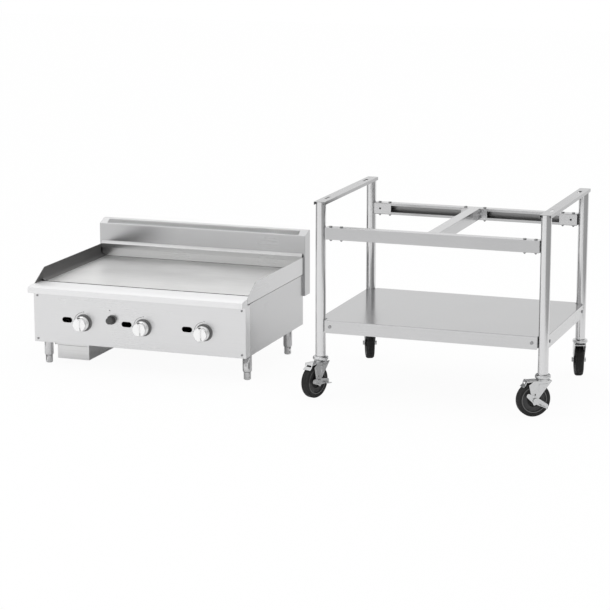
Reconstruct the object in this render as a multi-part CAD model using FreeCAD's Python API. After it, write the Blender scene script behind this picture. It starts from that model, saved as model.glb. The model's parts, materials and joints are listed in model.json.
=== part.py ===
import FreeCAD, Part
import math
import os

# A counter gas griddle on levelling feet, standing beside its wheeled stand.
# Millimetres, +X right, +Y to the back, +Z up, floor at zero.
# Each unit is drawn in its own frame: x from its middle, z from the floor,
# the griddle's y from its front panel, the stand's y from its middle.

V = FreeCAD.Vector

# Griddle body
BODY_WIDTH = 894.0
BODY_DEPTH = 640.0
BODY_BOTTOM = 100.0
BODY_HEIGHT = 205.0
SHEET = 1.5
PANEL_RETURN = 45.0
BODY_FLANGE = 25.0
FOOT_FLANGE = 42.0
PANEL_TO_LEDGE = 2.0
SEAM = 0.5

# Cooking plate, its guards and what carries them
PLATE_THICKNESS = 20.0
PLATE_SIDE_INSET = 20.0
PLATE_FRONT_Y = 80.0
PLATE_BACK_INSET = 6.0
PLATE_SUPPORT_HEIGHT = 5.0
PLATE_SUPPORT_WIDTH = 26.0
GUARD_THICKNESS = 3.0
GUARD_RISE = 50.0
GUARD_FRONT_Y = 12.0
GUARD_SLOPE_END_Y = 100.0
GUARD_GAP = 4.0
GUARD_SKIRT_RISE = 10.0
SPLASH_LIP_DEPTH = 8.0
SPLASH_LIP_HEIGHT = 17.0
SPLASH_LIP_BOTTOM = 36.0
SPLASH_TOP_RISE = 11.0

# Front ledge and the grease path under it
LEDGE_OVERHANG = 45.0
LEDGE_HALF_EXTRA = 3.0
LEDGE_NOSE_DEPTH = 21.0
LEDGE_NOSE_DROP = 5.0
LEDGE_GAP = 14.0
LEDGE_END_Y = 10.0
TROUGH_FRONT_Y = 4.0
TROUGH_BACK_Y = 136.0
TROUGH_DEPTH = 48.0
TROUGH_END_INSET = 30.0
DRAIN_RADIUS = 16.0
DRAIN_X = -335.0
DRAIN_Y = 114.0

# Grease drawer and its runners
DRAWER_X = -323.5
DRAWER_WIDTH = 137.0
DRAWER_FRONT_Y = 90.0
DRAWER_LENGTH = 380.0
DRAWER_BOTTOM = 16.0
DRAWER_TOP = 70.0
DRAWER_BACK_DROP = 10.0
DRAWER_SHEET = 1.2
DRAWER_FLANGE = 8.0
DRAWER_TRAVEL = 350.0
RUNNER_SHEET = 1.5
RUNNER_CLEARANCE = 0.3
RUNNER_LEDGE = 8.0
CROSS_STRIP_LEFT_X = -404.0
CROSS_STRIP_GAP = 1.0

# Flue
FLUE_DEPTH = 60.0
FLUE_SIDE_EXTRA = 9.0
FLUE_BOTTOM = 218.0
FLUE_FRONT_TOP = 466.0
FLUE_BEVEL_DEPTH = 40.0
FLUE_BEVEL_RISE = 16.0
FLUE_SLOT_COUNT = 85
FLUE_SLOT_PITCH = 10.0
FLUE_SLOT_WIDTH = 5.0
FLUE_SLOT_LENGTH = 31.0
FLUE_PORT_WIDTH = 760.0
FLUE_PORT_BOTTOM = 230.0
FLUE_PORT_TOP = 288.0

# Controls
KNOB_FIRST_X = -232.5
KNOB_PITCH = 254.0
KNOB_COUNT = 3
KNOB_Z = 190.0
KNOB_RADIUS = 28.75
KNOB_BACK_Y = -14.0
KNOB_FACE_Y = -42.0
KNOB_GRIP_WIDTH = 13.0
KNOB_GRIP_DEPTH = 8.0
KNOB_STEM_RADIUS = 7.5
KNOB_CHAMFER = 1.0
KNOB_BACK_STEP = 3.0
KNOB_HOLE_RADIUS = 9.0
BEZEL_RADIUS = 34.5
BEZEL_THICKNESS = 9.0
SIGHT_OFFSET_X = -71.0
SIGHT_OFFSET_Z = 6.5
SIGHT_LENGTH = 43.0
SIGHT_HEIGHT = 21.5
IGNITER_X = -112.0
IGNITER_Z = 211.0
IGNITER_COLLAR_RADIUS = 18.2
IGNITER_COLLAR_DEPTH = 7.0
IGNITER_BARREL_RADIUS = 16.0
IGNITER_BARREL_END = 40.0
IGNITER_BORE_END = 18.0
BUTTON_RADIUS = 13.4
BUTTON_FRONT_Y = -31.0
BUTTON_BACK_Y = 10.0
BUTTON_CLEARANCE = 0.3
BUTTON_FLUTES = 14
BUTTON_FLUTE_RADIUS = 1.3
BUTTON_FLUTE_END = 8.0
BUTTON_CHAMFER = 2.5
SCREW_INSET_X = 16.0
SCREW_INSET_TOP = 17.0
SCREW_INSET_BOTTOM = 13.0
SCREW_HEAD_RADIUS = 4.2
SCREW_HEAD_HEIGHT = 2.4
SCREW_RADIUS = 2.1
SCREW_LENGTH = 12.0
HOLE_CLEARANCE = 0.15

# Gas train
VALVE_WIDTH = 50.0
VALVE_FRONT_Y = 36.0
VALVE_BACK_Y = 74.0
VALVE_BELOW = 14.0
VALVE_ABOVE = 36.0
VALVE_INLET_RADIUS = 7.0
SPUD_RADIUS = 5.0
SPUD_END_Y = 97.0
PIPE_RADIUS = 13.35
PIPE_BORE_RADIUS = 10.45
MANIFOLD_Y = 58.0
MANIFOLD_Z = 150.0
MANIFOLD_LEFT_X = -275.0
INLET_X = 345.0
INLET_STICKOUT = 50.0
INLET_NUT_RADIUS = 21.0
INLET_NUT_HEIGHT = 8.0
VENTURI_RADIUS = 14.0
VENTURI_BORE_RADIUS = 12.0
VENTURI_FRONT_Y = 92.0
BURNER_FRONT_Y = 150.0
BURNER_BACK_INSET = 40.0
BURNER_Z = 225.0
BURNER_RADIUS = 17.0
BURNER_BORE_RADIUS = 15.0
BURNER_ARM_X = 60.0
BURNER_CROSS_HALF = 18.0
BURNER_WALL = 2.0
RACK_THICKNESS = 3.0
RACK_WIDTH = 26.0
RACK_FRONT_Y = 190.0
RACK_BACK_INSET = 70.0
PILOT_OFFSET_X = -23.5
PILOT_RADIUS = 5.0
PILOT_HEIGHT = 42.0
PILOT_TUBE_RADIUS = 2.5
PILOT_TUBE_Z = 198.0

# Griddle legs and levelling feet
LEG_X = 423.0
LEG_FRONT_Y = 75.0
LEG_SPACING_Y = 450.0
LEG_RADIUS = 18.0
LEG_NECK_RADIUS = 14.8
LEG_NECK_HEIGHT = 6.0
LEG_STUD_RADIUS = 5.0
LEG_STUD_LENGTH = 16.0
LEG_NUT_RADIUS = 9.5
LEG_NUT_HEIGHT = 8.0
FOOT_RADIUS = 14.0
FOOT_HEIGHT = 30.0
FOOT_EDGE = 3.0
FOOT_STUD_RADIUS = 5.0
FOOT_STUD_LENGTH = 38.0
FOOT_TRAVEL = 25.0
FOOT_CLEARANCE = 0.3
FIT_CLEARANCE = 0.08

# Stand frame
STAND_POST_X = 425.0
STAND_POST_Y = 300.0
POST_RADIUS = 19.05
POST_WALL = 1.6
POST_BOTTOM = 154.0
STAND_HEIGHT = 738.0
BAR_SHEET = 1.6
BAR_SIDE_CLEARANCE = 0.5
BAR_FLANGE = 12.0
BAR_OVERHANG = 19.5
BAR_SLOT_Y = 225.0
BAR_SLOT_LENGTH = 50.0
BAR_SLOT_WIDTH = 11.0
RAIL_TOP = 643.0
RAIL_HEIGHT = 45.0
RAIL_DEPTH = 37.0
RAIL_SHEET = 1.5
RAIL_LIP = 9.0
RAIL_OUTSET = 14.0
RAIL_END_GAP = 1.5
BRACKET_SHEET = 2.5
BRACKET_LENGTH = 68.0
BRACKET_CLEARANCE = 0.3
BRACKET_HOLE_INSET = 23.0
BRACKET_HOLE_RADIUS = 4.0
MIDDLE_BRACKET_HALF = 52.0
RAIL_BOLT_NEAR = 17.0
RAIL_BOLT_FAR = 58.0
MIDDLE_BOLT_X = 38.0
BEAM_WIDTH = 43.0
BEAM_HEIGHT = 43.0
CLEAT_LEG = 24.0
CLEAT_HEIGHT = 36.0
CLEAT_BOLT_SPREAD = 21.0
CLEAT_BOLT_INSET = 13.0
BOLT_RADIUS = 3.0
BOLT_HEAD_RADIUS = 6.0
BOLT_HEAD_HEIGHT = 3.5
NUT_RADIUS = 5.6
NUT_HEIGHT = 5.0
NUT_TAIL = 2.5

# Stand shelf
SHELF_TOP = 293.0
SHELF_FLANGE = 48.0
SHELF_SHEET = 1.5
SHELF_OUT_X = 13.0
SHELF_OUT_Y = 15.0
GUSSET_SHEET = 2.5
GUSSET_LEG = 40.0
GUSSET_DROP = 42.0
POST_GAP = 0.35
SHELF_SCREW_INSET_X = 20.0
SHELF_SCREW_INSET_Y = 18.0
SHELF_SCREW_DROP = 24.0
SCREW_HOLE_RUN = 4.0

# Casters
WHEEL_RADIUS = 63.5
TYRE_HALF_WIDTH = 16.0
TYRE_INNER_RADIUS = 48.5
TYRE_SHOULDER = 6.0
HUB_BOSS_RADIUS = 15.0
HUB_RIM_RADIUS = 41.0
HUB_WEB_HALF = 6.0
HUB_RIM_HALF = 14.0
HUB_SLOPE = 3.0
AXLE_RADIUS = 6.0
AXLE_END = 6.0
AXLE_HEAD_RADIUS = 9.5
CASTER_TRAIL = 36.0
FORK_SHEET = 2.5
FORK_INNER_HALF = 19.0
FORK_CROWN_BOTTOM = 131.0
FORK_CROWN_THICKNESS = 3.0
FORK_REAR_X = -27.0
FORK_FRONT_X = 60.0
FORK_SHOULDER_X = 44.0
FORK_SHOULDER_DROP = 11.0
FORK_TIP_RADIUS = 12.0
SIDE_PLAY = 0.3
COLLAR_RADIUS = 29.0
COLLAR_CHAMFER = 4.0
RACE_RADIUS = 24.0
RACE_HEIGHT = 4.0
PLUG_LENGTH = 36.0
PLUG_CLEARANCE = 0.25
KINGPIN_RADIUS = 6.0
KINGPIN_HEAD_RADIUS = 10.0
KINGPIN_HEAD_HEIGHT = 4.0
LEVER_SHEET = 3.0
LEVER_ARM_WIDTH = 16.0
LEVER_HUB_RADIUS = 13.0
LEVER_LOCK_ARM = (31.0, 5.5)
LEVER_PEDAL_ARM = (-47.0, -2.5)
LEVER_STOP_ARM = (-3.0, -13.5)
LEVER_STOP_WIDTH = 9.0
LEVER_PRESS_DEGREES = 25.0
LEVER_PEDAL_DEPTH = 18.0
LEVER_PEDAL_LENGTH = 20.0
SHOE_SHEET = 2.5
SHOE_HALF_WIDTH = 17.0
SHOE_PIVOT_REACH = 4.0
SHOE_KNUCKLE_RADIUS = 3.0
SHOE_PIN_RADIUS = 1.5
SHOE_RUN = ((1.5, 0.0), (5.0, -1.5), (8.0, -12.0), (19.0, -19.5))
SHOE_WINDOW_TOP = 3.5
SHOE_WINDOW_BOTTOM = 9.5
SHOE_WINDOW_HALF = 13.0
SHOE_PRESS_DEGREES = 6.0
EAR_INNER_HALF = 17.3
EAR_THICKNESS = 2.5
EAR_DROP = 3.0
SWIVEL_DEGREES = {
    "front_left": 250.0, "front_right": 215.0,
    "rear_left": 113.0, "rear_right": 108.0,
}

# Where the griddle's front panel middle stands, from the stand's middle
GRIDDLE_FROM_STAND = (-1195.0, -240.0)

# Derived places
BODY_HALF = BODY_WIDTH / 2
BODY_TOP = BODY_BOTTOM + BODY_HEIGHT
PLATE_BOTTOM = BODY_TOP + PLATE_SUPPORT_HEIGHT
PLATE_TOP = PLATE_BOTTOM + PLATE_THICKNESS
PLATE_HALF = BODY_HALF - PLATE_SIDE_INSET
PLATE_BACK_Y = BODY_DEPTH - PLATE_BACK_INSET
PANEL_TOP = BODY_TOP - PANEL_TO_LEDGE
PAN_TOP = BODY_BOTTOM + 2 * SHEET
GUARD_TOP = PLATE_TOP + GUARD_RISE
GUARD_BOTTOM = BODY_TOP + GUARD_GAP
LEDGE_TOP = PLATE_TOP
LEDGE_HALF = BODY_HALF + LEDGE_HALF_EXTRA
LEDGE_BACK_Y = PLATE_FRONT_Y - LEDGE_GAP
TROUGH_TOP = PLATE_BOTTOM - 1.5
KNOB_XS = [KNOB_FIRST_X + KNOB_PITCH * i for i in range(KNOB_COUNT)]
FLUE_HALF = BODY_HALF + FLUE_SIDE_EXTRA
FLUE_BACK_Y = BODY_DEPTH + FLUE_DEPTH
FLUE_TOP = FLUE_FRONT_TOP + FLUE_BEVEL_RISE
RACK_TOP = BURNER_Z - BURNER_RADIUS
RACK_YS = (RACK_FRONT_Y, BODY_DEPTH - RACK_BACK_INSET)
BURNER_BACK_Y = BODY_DEPTH - BURNER_BACK_INSET
LEG_YS = (LEG_FRONT_Y, LEG_FRONT_Y + LEG_SPACING_Y)
BAR_HALF_WIDTH = POST_RADIUS + BAR_SIDE_CLEARANCE + BAR_SHEET
BAR_HALF_LENGTH = STAND_POST_Y + BAR_OVERHANG
RAIL_BOTTOM = RAIL_TOP - RAIL_HEIGHT
RAIL_END_X = STAND_POST_X - POST_RADIUS - RAIL_END_GAP
RAIL_OUTER_Y = STAND_POST_Y + RAIL_OUTSET
RAIL_INNER_Y = RAIL_OUTER_Y - RAIL_DEPTH
RAIL_BOLT_Y = RAIL_OUTER_Y - RAIL_DEPTH / 2
SHELF_HALF_X = STAND_POST_X + SHELF_OUT_X
SHELF_HALF_Y = STAND_POST_Y + SHELF_OUT_Y
SHELF_NOTCH_X = RAIL_END_X
SHELF_NOTCH_Y = STAND_POST_Y - POST_RADIUS - POST_GAP
CROWN_TOP = FORK_CROWN_BOTTOM + FORK_CROWN_THICKNESS
FORK_OUTER_HALF = FORK_INNER_HALF + FORK_SHEET
LEVER_IN_Y = FORK_OUTER_HALF + SIDE_PLAY
LEVER_OUT_Y = LEVER_IN_Y + LEVER_SHEET
POSTS = {
    "front_left": (-STAND_POST_X, -STAND_POST_Y),
    "front_right": (STAND_POST_X, -STAND_POST_Y),
    "rear_left": (-STAND_POST_X, STAND_POST_Y),
    "rear_right": (STAND_POST_X, STAND_POST_Y),
}
BRAKED = ("front_left", "front_right")
PRESSED_CORNER = "front_right"

PLANES = {
    "xy": (lambda a, b, c: V(a, b, c), V(0, 0, 1)),
    "xz": (lambda a, b, c: V(a, c, b), V(0, 1, 0)),
    "yz": (lambda a, b, c: V(c, a, b), V(1, 0, 0)),
}


def box(x0, x1, y0, y1, z0, z1):
    return Part.makeBox(x1 - x0, y1 - y0, z1 - z0, V(x0, y0, z0))


def rod(start, axis, radius, length):
    return Part.makeCylinder(radius, length, V(*start), V(*axis))


def prism(plane, points, low, high):
    """Extrude an outline drawn in a plane, from low to high across it."""
    place, normal = PLANES[plane]
    corners = [place(a, b, low) for a, b in points]
    face = Part.Face(Part.makePolygon(corners + corners[:1]))
    return face.extrude(normal * (high - low))


def strip(points, thickness):
    """Outline of a folded sheet whose mid-line follows the points."""
    headings = []
    for (a0, b0), (a1, b1) in zip(points, points[1:]):
        length = math.hypot(a1 - a0, b1 - b0)
        headings.append(((a1 - a0) / length, (b1 - b0) / length))
    left, right = [], []
    for i, (a, b) in enumerate(points):
        before = headings[max(i - 1, 0)]
        after = headings[min(i, len(headings) - 1)]
        reach = thickness / 2 / (1 + before[0] * after[0] + before[1] * after[1])
        da = -(before[1] + after[1]) * reach
        db = (before[0] + after[0]) * reach
        left.append((a + da, b + db))
        right.append((a - da, b - db))
    return left + right[::-1]


def folded(plane, points, thickness, low, high):
    return prism(plane, strip(points, thickness), low, high)


def turned(profile, base, axis=(0, 0, 1)):
    """Spin a (radius, height) outline round an axis through its base."""
    points = [V(radius, 0, height) for radius, height in profile]
    face = Part.Face(Part.makePolygon(points + points[:1]))
    solid = face.revolve(V(0, 0, 0), V(0, 0, 1), 360)
    turn = FreeCAD.Rotation(V(0, 0, 1), V(*axis))
    solid.Placement = FreeCAD.Placement(V(*base), turn)
    return solid


def slot(plane, centre, length, width, low, high):
    """A round-ended slot, its length along the plane's first axis."""
    a, b = centre
    straight = (length - width) / 2
    place, normal = PLANES[plane]
    middle = prism(plane, [(a - straight, b - width / 2), (a + straight, b - width / 2),
                           (a + straight, b + width / 2), (a - straight, b + width / 2)], low, high)
    ends = [Part.makeCylinder(width / 2, high - low, place(a + side * straight, b, low), normal)
            for side in (-1, 1)]
    return middle.fuse(ends).removeSplitter()


def mirrored(shape):
    return shape.mirror(V(0, 0, 0), V(1, 0, 0))


def flipped(shape):
    return shape.mirror(V(0, 0, 0), V(0, 1, 0))


def joined(shapes):
    return shapes[0].fuse(shapes[1:]).removeSplitter()


def group(shapes):
    return Part.makeCompound(shapes)


def screw_places():
    """Front panel screws, at its four corners."""
    x = BODY_HALF - SCREW_INSET_X
    heights = (PANEL_TOP - SCREW_INSET_TOP, BODY_BOTTOM + SCREW_INSET_BOTTOM)
    return [(side * x, z) for side in (-1, 1) for z in heights]


def front_panel():
    """Wrapped front with its returns, knob holes and sight holes."""
    mid = BODY_HALF - SHEET / 2
    wrap = [(mid, PANEL_RETURN), (mid, SHEET / 2), (-mid, SHEET / 2), (-mid, PANEL_RETURN)]
    shape = folded("xy", wrap, SHEET, BODY_BOTTOM, PANEL_TOP)
    inner = BODY_HALF - SHEET
    lips = [box(-inner, inner, SHEET, BODY_FLANGE, z, z + SHEET)
            for z in (BODY_BOTTOM, PANEL_TOP - SHEET)]
    shape = joined([shape] + lips)
    cuts = []
    for x in KNOB_XS:
        cuts.append(rod((x, -SHEET, KNOB_Z), (0, 1, 0), KNOB_HOLE_RADIUS, 4 * SHEET))
        cuts.append(slot("xz", (x + SIGHT_OFFSET_X, KNOB_Z + SIGHT_OFFSET_Z),
                         SIGHT_LENGTH, SIGHT_HEIGHT, -SHEET, 3 * SHEET))
    cuts.append(rod((IGNITER_X, -SHEET, IGNITER_Z), (0, 1, 0),
                    IGNITER_BARREL_RADIUS + HOLE_CLEARANCE, 4 * SHEET))
    for x, z in screw_places():
        cuts.append(rod((x, -SHEET, z), (0, 1, 0), SCREW_RADIUS + HOLE_CLEARANCE, 4 * SHEET))
    return shape.cut(cuts)


def side_panel():
    """Right side, flanged inwards along its top and bottom."""
    mid = BODY_HALF - SHEET / 2
    inside = BODY_HALF - BODY_FLANGE
    foot = BODY_HALF - FOOT_FLANGE
    section = [(inside, BODY_TOP - SHEET / 2), (mid, BODY_TOP - SHEET / 2),
               (mid, BODY_BOTTOM + SHEET / 2), (foot, BODY_BOTTOM + SHEET / 2)]
    shape = folded("xz", section, SHEET, PANEL_RETURN + SEAM, BODY_DEPTH - SHEET)
    return shape.cut(leg_holes())


def bottom_pan():
    inner = BODY_HALF - SHEET - SEAM
    pan = box(-inner, inner, SHEET + SEAM, BODY_DEPTH - SHEET - SEAM,
              BODY_BOTTOM + SHEET, PAN_TOP)
    drain = rod((DRAIN_X, DRAIN_Y, BODY_BOTTOM), (0, 0, 1), DRAIN_RADIUS + SHEET, PAN_TOP)
    return pan.cut([drain] + leg_holes())


def back_panel():
    panel = box(-BODY_HALF, BODY_HALF, BODY_DEPTH - SHEET, BODY_DEPTH, BODY_BOTTOM, BODY_TOP)
    port = box(-FLUE_PORT_WIDTH / 2, FLUE_PORT_WIDTH / 2, BODY_DEPTH - 2 * SHEET,
               BODY_DEPTH + SHEET, FLUE_PORT_BOTTOM, FLUE_PORT_TOP)
    inlet = rod((INLET_X, BODY_DEPTH - 2 * SHEET, MANIFOLD_Z), (0, 1, 0),
                PIPE_RADIUS + HOLE_CLEARANCE, 4 * SHEET)
    return panel.cut([port, inlet])


def plate_supports():
    """Flat bars on the side flanges that carry the plate's edges."""
    outer = BODY_HALF - SHEET
    bar = box(outer - PLATE_SUPPORT_WIDTH, outer, PLATE_FRONT_Y + SHEET, PLATE_BACK_Y,
              BODY_TOP, PLATE_BOTTOM)
    return group([bar, mirrored(bar)])


def griddle_plate():
    plate = box(-PLATE_HALF, PLATE_HALF, PLATE_FRONT_Y, PLATE_BACK_Y, PLATE_BOTTOM, PLATE_TOP)
    front_edge = [e for e in plate.Edges
                  if all(abs(v.Y - PLATE_FRONT_Y) < 1e-6 and abs(v.Z - PLATE_TOP) < 1e-6
                         for v in e.Vertexes)]
    return plate.makeFillet(PLATE_THICKNESS / 8, front_edge)


def guard():
    """Right splash guard, with the skirt that closes the plate's edge."""
    outline = [(GUARD_FRONT_Y, GUARD_BOTTOM), (GUARD_FRONT_Y, LEDGE_TOP),
               (GUARD_SLOPE_END_Y, GUARD_TOP), (BODY_DEPTH - SHEET, GUARD_TOP),
               (BODY_DEPTH - SHEET, GUARD_BOTTOM)]
    wall = prism("yz", outline, BODY_HALF, BODY_HALF + GUARD_THICKNESS)
    top = PLATE_TOP + GUARD_SKIRT_RISE
    skirt = prism("xz", [(BODY_HALF, top), (BODY_HALF, top - 2 * GUARD_THICKNESS),
                         (PLATE_HALF + SEAM, PLATE_BOTTOM + SEAM), (PLATE_HALF + SEAM, PLATE_TOP)],
                  PLATE_FRONT_Y, PLATE_BACK_Y)
    return joined([wall, skirt])


def rear_splash():
    """Folded upstand behind the plate, lipped below the flue face."""
    y = BODY_DEPTH - SHEET - SEAM - SHEET / 2
    lip_y = y - SPLASH_LIP_DEPTH
    lip_z = PLATE_TOP + SPLASH_LIP_BOTTOM
    section = [(y, PLATE_BOTTOM), (y, lip_z), (lip_y, lip_z), (lip_y, lip_z + SPLASH_LIP_HEIGHT),
               (y + SEAM, lip_z + SPLASH_LIP_HEIGHT + SPLASH_TOP_RISE)]
    half = BODY_HALF - SEAM
    return folded("yz", section, SHEET, -half, half)


def ledge_section():
    t = SHEET / 2
    return [(LEDGE_BACK_Y - t, LEDGE_TOP - LEDGE_NOSE_DROP * 2), (LEDGE_BACK_Y - t, LEDGE_TOP - t),
            (LEDGE_NOSE_DEPTH - LEDGE_OVERHANG, LEDGE_TOP - t),
            (t - LEDGE_OVERHANG, LEDGE_TOP - t - LEDGE_NOSE_DROP),
            (t - LEDGE_OVERHANG, PANEL_TOP + t), (BODY_FLANGE, PANEL_TOP + t)]


def front_ledge():
    """Landing ledge that overhangs the panel, with closed ends."""
    shape = folded("yz", ledge_section(), SHEET, -LEDGE_HALF, LEDGE_HALF)
    end = prism("yz", [(-LEDGE_OVERHANG, PANEL_TOP),
                       (-LEDGE_OVERHANG, LEDGE_TOP - LEDGE_NOSE_DROP),
                       (LEDGE_NOSE_DEPTH - LEDGE_OVERHANG, LEDGE_TOP),
                       (LEDGE_END_Y, LEDGE_TOP), (LEDGE_END_Y, PANEL_TOP)],
                LEDGE_HALF - SHEET, LEDGE_HALF)
    notch = box(BODY_HALF - SEAM, LEDGE_HALF + SHEET, LEDGE_END_Y, LEDGE_BACK_Y + SHEET,
                BODY_BOTTOM, GUARD_TOP)
    shape = shape.cut([notch, mirrored(notch)])
    return joined([shape, end, mirrored(end)])


def grease_trough():
    """Gutter under the slot before the plate, with its drain spout."""
    half = BODY_HALF - TROUGH_END_INSET
    bottom = TROUGH_TOP - TROUGH_DEPTH
    t = SHEET / 2
    front, back = TROUGH_FRONT_Y + t, TROUGH_BACK_Y - t
    section = [(front, PANEL_TOP - SHEET), (front, bottom + t),
               (back, bottom + t), (back, TROUGH_TOP)]
    shape = folded("yz", section, SHEET, -half, half)
    ends = [box(side * half - t, side * half + t, TROUGH_FRONT_Y, TROUGH_BACK_Y,
                bottom, PANEL_TOP - SHEET) for side in (-1, 1)]
    spout_end = BODY_BOTTOM - SEAM
    spout = rod((DRAIN_X, DRAIN_Y, spout_end), (0, 0, 1), DRAIN_RADIUS, bottom + t - spout_end)
    bore = rod((DRAIN_X, DRAIN_Y, spout_end - 1), (0, 0, 1), DRAIN_RADIUS - SHEET, TROUGH_TOP)
    return joined([shape, spout] + ends).cut(bore)


def flue_riser():
    """Hollow chimney box behind the body, open at its top."""
    outer = box(-FLUE_HALF, FLUE_HALF, BODY_DEPTH, FLUE_BACK_Y, FLUE_BOTTOM, FLUE_TOP)
    inner = box(SHEET - FLUE_HALF, FLUE_HALF - SHEET, BODY_DEPTH + SHEET, FLUE_BACK_Y - SHEET,
                FLUE_BOTTOM + SHEET, FLUE_TOP + SHEET)
    port = box(-FLUE_PORT_WIDTH / 2, FLUE_PORT_WIDTH / 2, BODY_DEPTH - SHEET,
               BODY_DEPTH + 2 * SHEET, FLUE_PORT_BOTTOM, FLUE_PORT_TOP)
    over = 4 * SHEET
    above = prism("yz", [(BODY_DEPTH - over, FLUE_FRONT_TOP - SHEET),
                         (BODY_DEPTH, FLUE_FRONT_TOP - SHEET),
                         (BODY_DEPTH + FLUE_BEVEL_DEPTH, FLUE_TOP - SHEET),
                         (FLUE_BACK_Y + over, FLUE_TOP - SHEET),
                         (FLUE_BACK_Y + over, FLUE_TOP + over), (BODY_DEPTH - over, FLUE_TOP + over)],
                  -FLUE_HALF - over, FLUE_HALF + over)
    return outer.cut([inner, port, above])


def flue_grille():
    """Bevelled slotted cap on the riser."""
    cap = prism("yz", [(BODY_DEPTH, FLUE_FRONT_TOP - SHEET), (BODY_DEPTH, FLUE_FRONT_TOP),
                       (BODY_DEPTH + FLUE_BEVEL_DEPTH, FLUE_TOP), (FLUE_BACK_Y, FLUE_TOP),
                       (FLUE_BACK_Y, FLUE_TOP - SHEET),
                       (BODY_DEPTH + FLUE_BEVEL_DEPTH, FLUE_TOP - SHEET)],
                -FLUE_HALF, FLUE_HALF)
    first = -FLUE_SLOT_PITCH * (FLUE_SLOT_COUNT - 1) / 2
    y0 = BODY_DEPTH + (FLUE_BEVEL_DEPTH - FLUE_SLOT_LENGTH) / 2
    cuts = []
    for i in range(FLUE_SLOT_COUNT):
        x = first + i * FLUE_SLOT_PITCH
        cuts.append(box(x - FLUE_SLOT_WIDTH / 2, x + FLUE_SLOT_WIDTH / 2, y0,
                        y0 + FLUE_SLOT_LENGTH, FLUE_BOTTOM, FLUE_TOP + SHEET))
    return cap.cut(cuts)


def burner(x):
    """U burner: two ported arms, a cross box and its venturi inlet."""
    arms = []
    bores = []
    for side in (-1, 1):
        start = (x + side * BURNER_ARM_X, BURNER_FRONT_Y, BURNER_Z)
        length = BURNER_BACK_Y - BURNER_FRONT_Y
        arms.append(rod(start, (0, 1, 0), BURNER_RADIUS, length))
        bores.append(rod(start, (0, 1, 0), BURNER_BORE_RADIUS, length - BURNER_WALL))
    reach = BURNER_ARM_X + BURNER_RADIUS + BURNER_WALL
    half = BURNER_CROSS_HALF
    room = half - BURNER_WALL
    cross = box(x - reach, x + reach, BURNER_FRONT_Y - half, BURNER_FRONT_Y + half,
                RACK_TOP, BURNER_Z + half)
    cross_room = box(x - reach + BURNER_WALL, x + reach - BURNER_WALL, BURNER_FRONT_Y - room,
                     BURNER_FRONT_Y + room, RACK_TOP + BURNER_WALL, BURNER_Z + room)
    intake = box(x - half, x + half, BURNER_FRONT_Y - half, BURNER_FRONT_Y + half,
                 KNOB_Z - half, RACK_TOP)
    intake_room = box(x - room, x + room, BURNER_FRONT_Y - room, BURNER_FRONT_Y + room,
                      KNOB_Z - room, RACK_TOP + 2 * BURNER_WALL)
    length = BURNER_FRONT_Y - VENTURI_FRONT_Y
    venturi = rod((x, VENTURI_FRONT_Y, KNOB_Z), (0, 1, 0), VENTURI_RADIUS, length - BURNER_WALL)
    venturi_bore = rod((x, VENTURI_FRONT_Y - 1, KNOB_Z), (0, 1, 0), VENTURI_BORE_RADIUS, length)
    body = joined(arms + [cross, intake, venturi])
    return body.cut(bores + [cross_room, intake_room, venturi_bore])


def burner_rack():
    """Cross bars between the side panels that carry burners and pilots."""
    inner = BODY_HALF - SHEET
    low = RACK_TOP - RACK_THICKNESS
    bars = []
    for y in RACK_YS:
        bars.append(box(-inner, inner, y - RACK_WIDTH / 2, y + RACK_WIDTH / 2, low, RACK_TOP))
    holes = [rod((x + PILOT_OFFSET_X, RACK_YS[0], low - 1), (0, 0, 1),
                 PILOT_RADIUS + HOLE_CLEARANCE, RACK_THICKNESS + 2) for x in KNOB_XS]
    bars[0] = bars[0].cut(holes)
    return group(bars)


def gas_valve(x):
    body = box(x - VALVE_WIDTH / 2, x + VALVE_WIDTH / 2, VALVE_FRONT_Y, VALVE_BACK_Y,
               KNOB_Z - VALVE_BELOW, KNOB_Z + VALVE_ABOVE)
    foot = rod((x, MANIFOLD_Y, MANIFOLD_Z + PIPE_RADIUS - SEAM), (0, 0, 1), VALVE_INLET_RADIUS,
               KNOB_Z - VALVE_BELOW - MANIFOLD_Z - PIPE_RADIUS + SEAM)
    spud = rod((x, VALVE_BACK_Y, KNOB_Z), (0, 1, 0), SPUD_RADIUS, SPUD_END_Y - VALVE_BACK_Y)
    pipe = rod((x - VALVE_WIDTH, MANIFOLD_Y, MANIFOLD_Z), (1, 0, 0), PIPE_RADIUS, 2 * VALVE_WIDTH)
    return joined([body, foot, spud]).cut(pipe)


def pilot(x):
    """Pilot head through the front cross bar, fed by a tube from its valve."""
    px, py = x + PILOT_OFFSET_X, RACK_YS[0]
    low = PILOT_TUBE_Z - PILOT_TUBE_RADIUS - 1
    head = rod((px, py, low), (0, 0, 1), PILOT_RADIUS, RACK_TOP + PILOT_HEIGHT - low)
    tube = rod((px, VALVE_BACK_Y, PILOT_TUBE_Z), (0, 1, 0), PILOT_TUBE_RADIUS, py - VALVE_BACK_Y)
    return joined([head, tube])


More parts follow.
